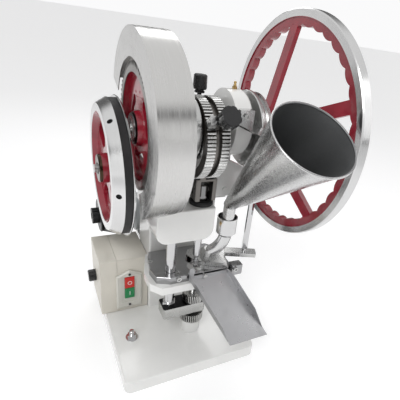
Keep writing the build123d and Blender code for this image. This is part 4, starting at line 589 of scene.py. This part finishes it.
def outline_frame(points, width, place, depth):
    """A flat raised band that follows a closed outline of (x, z) points, standing towards -Y."""
    middle = Vector((sum(x for x, _ in points), sum(z for _, z in points))) / len(points)
    work = bmesh.new()
    loops = []
    for inset, out in ((0, 0), (0, depth), (width, depth), (width, 0)):
        loop = []
        for x, z in points:
            away = Vector((x, z)) - middle
            shrunk = middle + away * (1 - inset / away.length)
            loop.append(work.verts.new((shrunk.x, place - out, shrunk.y)))
        loops.append(loop)
    count = len(points)
    for low, high in zip(loops, loops[1:] + loops[:1]):
        for index in range(count):
            after = (index + 1) % count
            work.faces.new([low[index], low[after], high[after], high[index]])
    return work


def socket_screw(name, place, radius, height):
    """An upright cap screw of the frame, with a chamfered head and a socket in it."""
    socket = radius * 0.5
    head = [(radius, 0), (radius, height * 0.85), (radius * 0.88, height), (socket, height),
            (socket * 0.9, height * 0.45), (0, height * 0.4)]
    add_piece(name, lathe(head, place, UP, 36), "dark steel", "frame")


def button_marks():
    """A ring on the stop button and a bar on the start button."""
    low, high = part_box("stop_button")
    middle = Vector(((low[0] + high[0]) / 2, low[1], (low[2] + high[2]) / 2))
    ring = [(5.2 * MM, -0.2 * MM), (5.2 * MM, 0.25 * MM), (3.9 * MM, 0.25 * MM), (3.9 * MM, -0.2 * MM)]
    ring_mark = lathe(ring + ring[:1], middle, FORWARD, 48)
    add_piece("stop_mark", ring_mark, "mark white", "stop_key")
    low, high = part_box("start_button")
    x, z = (low[0] + high[0]) / 2, (low[2] + high[2]) / 2
    half, tall, round_off = 0.7 * MM, 5.2 * MM, 0.5 * MM
    points = [(x - half, z - tall), (x + half, z - tall), (x + half + round_off / 4, z), (x + half, z + tall),
              (x - half, z + tall), (x - half - round_off / 4, z)]
    work = bmesh.new()
    front = [work.verts.new((px, low[1] - 0.25 * MM, pz)) for px, pz in points]
    back = [work.verts.new((px, low[1] + 0.3 * MM, pz)) for px, pz in points]
    work.faces.new(front)
    work.faces.new(back[::-1])
    for index in range(len(points)):
        after = (index + 1) % len(points)
        work.faces.new([front[index], back[index], back[after], front[after]])
    add_piece("start_mark", work, "mark white", "start_key")


def switch_rims():
    """A raised line round the switch plate."""
    low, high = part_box("switch_plate")
    middle, eave = (low[0] + high[0]) / 2, high[2] - 14 * MM
    gap = 4.5 * MM
    gable = [(low[0] + gap, low[2] + gap), (high[0] - gap, low[2] + gap), (high[0] - gap, eave - gap / 2),
             (middle, high[2] - gap), (low[0] + gap, eave - gap / 2)]
    add_piece("switch_outline", outline_frame(gable, 0.9 * MM, low[1] + 0.1 * MM, 0.8 * MM), "switch plastic",
              "frame")


def speed_cap():
    """The polished cap of the speed knob."""
    low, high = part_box("speed_knob")
    place = Vector((low[0], (low[1] + high[1]) / 2, (low[2] + high[2]) / 2))
    cap = [(0.0115, 0.0), (0.0115, 0.0005), (0.0105, 0.0009), (0.004, 0.0011), (0, 0.0011)]
    add_piece("speed_cap", lathe(cap, place, LEFT, 48), "cap metal", "speed_dial")


def pulley_plugs():
    """Dark plugs at the bottoms of the rim holes of the belt pulley: painted shade inside the holes."""
    for index in range(RIM_HOLES):
        angle = radians(RIM_HOLE_START + index * 360 / RIM_HOLES)
        outward = Vector((0, cos(angle), sin(angle)))
        place = Vector((RIM_HOLE_X, COUNTER.y, COUNTER.z)) + outward * RIM_HOLE_FLOOR
        plug = [(0, 0), (4.4 * MM, 0), (4.4 * MM, 4.5 * MM), (2.4 * MM, 4.5 * MM),
                (2.2 * MM, 2.5 * MM), (0, 2.5 * MM)]
        # Each dark plug stands in for the shade deep in a hole.
        shade_plug = lathe(plug, place, outward, 24)
        add_piece(f"rim_hole_shade_plug_{index + 1}", shade_plug, "dark steel", "countershaft")


def hold_down_screws():
    """Screws through the motor's foot and the foot of its mount."""
    low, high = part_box("motor_mount")
    middle_y = (low[1] + high[1]) / 2
    count = 0
    for x in MOUNT_SCREW_X:
        for side in (-1, 1):
            count += 1
            place = Vector((x, middle_y + side * MOUNT_SCREW_Y, MOUNT_FOOT_TOP))
            socket_screw(f"mount_screw_{count}", place, 5 * MM, 5 * MM)
    for x in MOTOR_SCREW_X:
        for side in (-1, 1):
            count += 1
            place = Vector((x, middle_y + side * MOTOR_SCREW_Y, MOTOR_FOOT_TOP))
            socket_screw(f"motor_screw_{count}", place, 3.2 * MM, 3.5 * MM)


button_marks()
switch_rims()
speed_cap()
pulley_plugs()
hold_down_screws()

# ---------------------------------------------------------------- camera, lights and floor
YAW, PITCH, ROLL = radians(31.60), radians(28.36), radians(8.62)
CAMERA_AT = (-0.283, -0.622, 0.704)
LENS, SHIFT_X, SHIFT_Y = 32.93, -0.0985, 0.0605


def make_camera():
    data = bpy.data.cameras.new("Camera")
    data.sensor_width, data.lens = 36.0, LENS
    data.shift_x, data.shift_y = SHIFT_X, SHIFT_Y
    data.clip_start = 0.02
    camera = bpy.data.objects.new("Camera", data)
    bpy.context.scene.collection.objects.link(camera)
    ahead = Vector((sin(YAW) * cos(PITCH), cos(YAW) * cos(PITCH), -sin(PITCH)))
    right = ahead.cross(Vector((0, 0, 1))).normalized()
    up = right.cross(ahead)
    tilted_right = right * cos(ROLL) + up * sin(ROLL)
    tilted_up = up * cos(ROLL) - right * sin(ROLL)
    turn = Matrix((tilted_right, tilted_up, -ahead)).transposed()
    camera.matrix_world = Matrix.Translation(CAMERA_AT) @ turn.to_4x4()
    bpy.context.scene.camera = camera


def make_area(name, place, target, size, power, colour=(1, 1, 1)):
    data = bpy.data.lights.new(name, "AREA")
    data.shape, data.size, data.size_y = "RECTANGLE", *size
    data.energy, data.color = power, colour
    lamp = bpy.data.objects.new(name, data)
    bpy.context.scene.collection.objects.link(lamp)
    lamp.location = place
    lamp.rotation_euler = (Vector(target) - Vector(place)).to_track_quat("-Z", "Y").to_euler()


def make_floor():
    mesh = bpy.data.meshes.new("Floor")
    work = bmesh.new()
    bmesh.ops.create_grid(work, x_segments=2, y_segments=2, size=60.0)
    work.to_mesh(mesh)
    work.free()
    floor = bpy.data.objects.new("Floor", mesh)
    bpy.context.scene.collection.objects.link(floor)
    finish = Finish("Pale floor", Roughness=0.6)
    finish.shader.inputs["Base Color"].default_value = (0.94, 0.94, 0.945, 1)
    finish.shader.inputs["Emission Color"].default_value = (1, 1, 1, 1)
    finish.shader.inputs["Emission Strength"].default_value = 0.16
    floor.data.materials.append(finish.material)


SOFT_BOXES = [((-0.80, -0.55, 0.25), 0.93, 0.9), ((0.35, -0.90, 0.20), 0.95, 0.8),
              ((0.90, 0.30, 0.30), 0.93, 0.9), ((-0.55, 0.80, 0.20), 0.94, 0.7)]
BOX_EDGE = 0.05        # how softly a soft box fades, as a change in the cosine


def make_world():
    """A studio for the metal to mirror: bright overhead, dark walls and two tall soft boxes."""
    world = bpy.data.worlds.new("Studio")
    bpy.context.scene.world = world
    world.use_nodes = True
    graph = Graph(world.node_tree)
    background = world.node_tree.nodes["Background"]
    direction = graph.add("TexCoord").outputs["Generated"]
    split = graph.add("SeparateXYZ")
    graph.link(direction, split.inputs[0])
    walls = graph.ramp(split.outputs["Z"], -0.1, 0.22, 0.34, 0.14)
    ceiling = graph.ramp(split.outputs["Z"], 0.45, 0.68, 0.0, 0.78)
    tone = graph.math("ADD", walls, ceiling)
    for towards, width, power in SOFT_BOXES:
        near = graph.vector("DOT_PRODUCT", direction, Vector(towards).normalized(), output=1)
        tone = graph.math("ADD", tone, graph.ramp(near, width, width + BOX_EDGE, 0.0, power))
    seen = graph.add("LightPath").outputs["Is Camera Ray"]
    graph.link(graph.mix(seen, tone, (0.96, 0.96, 0.965, 1)), background.inputs["Color"])
    background.inputs["Strength"].default_value = 1.0


make_camera()
make_floor()
make_world()
make_area("Key light", (-1.1, -1.2, 1.9), (0, 0, 0.4), (0.9, 0.9), 15)
make_area("Fill light", (1.5, -1.0, 1.2), (0.1, 0, 0.4), (0.8, 1.2), 4)
make_area("Rim light", (0.4, 1.6, 1.7), (0, 0, 0.5), (1.2, 0.7), 7)
bpy.context.scene.view_settings.view_transform = "Standard"
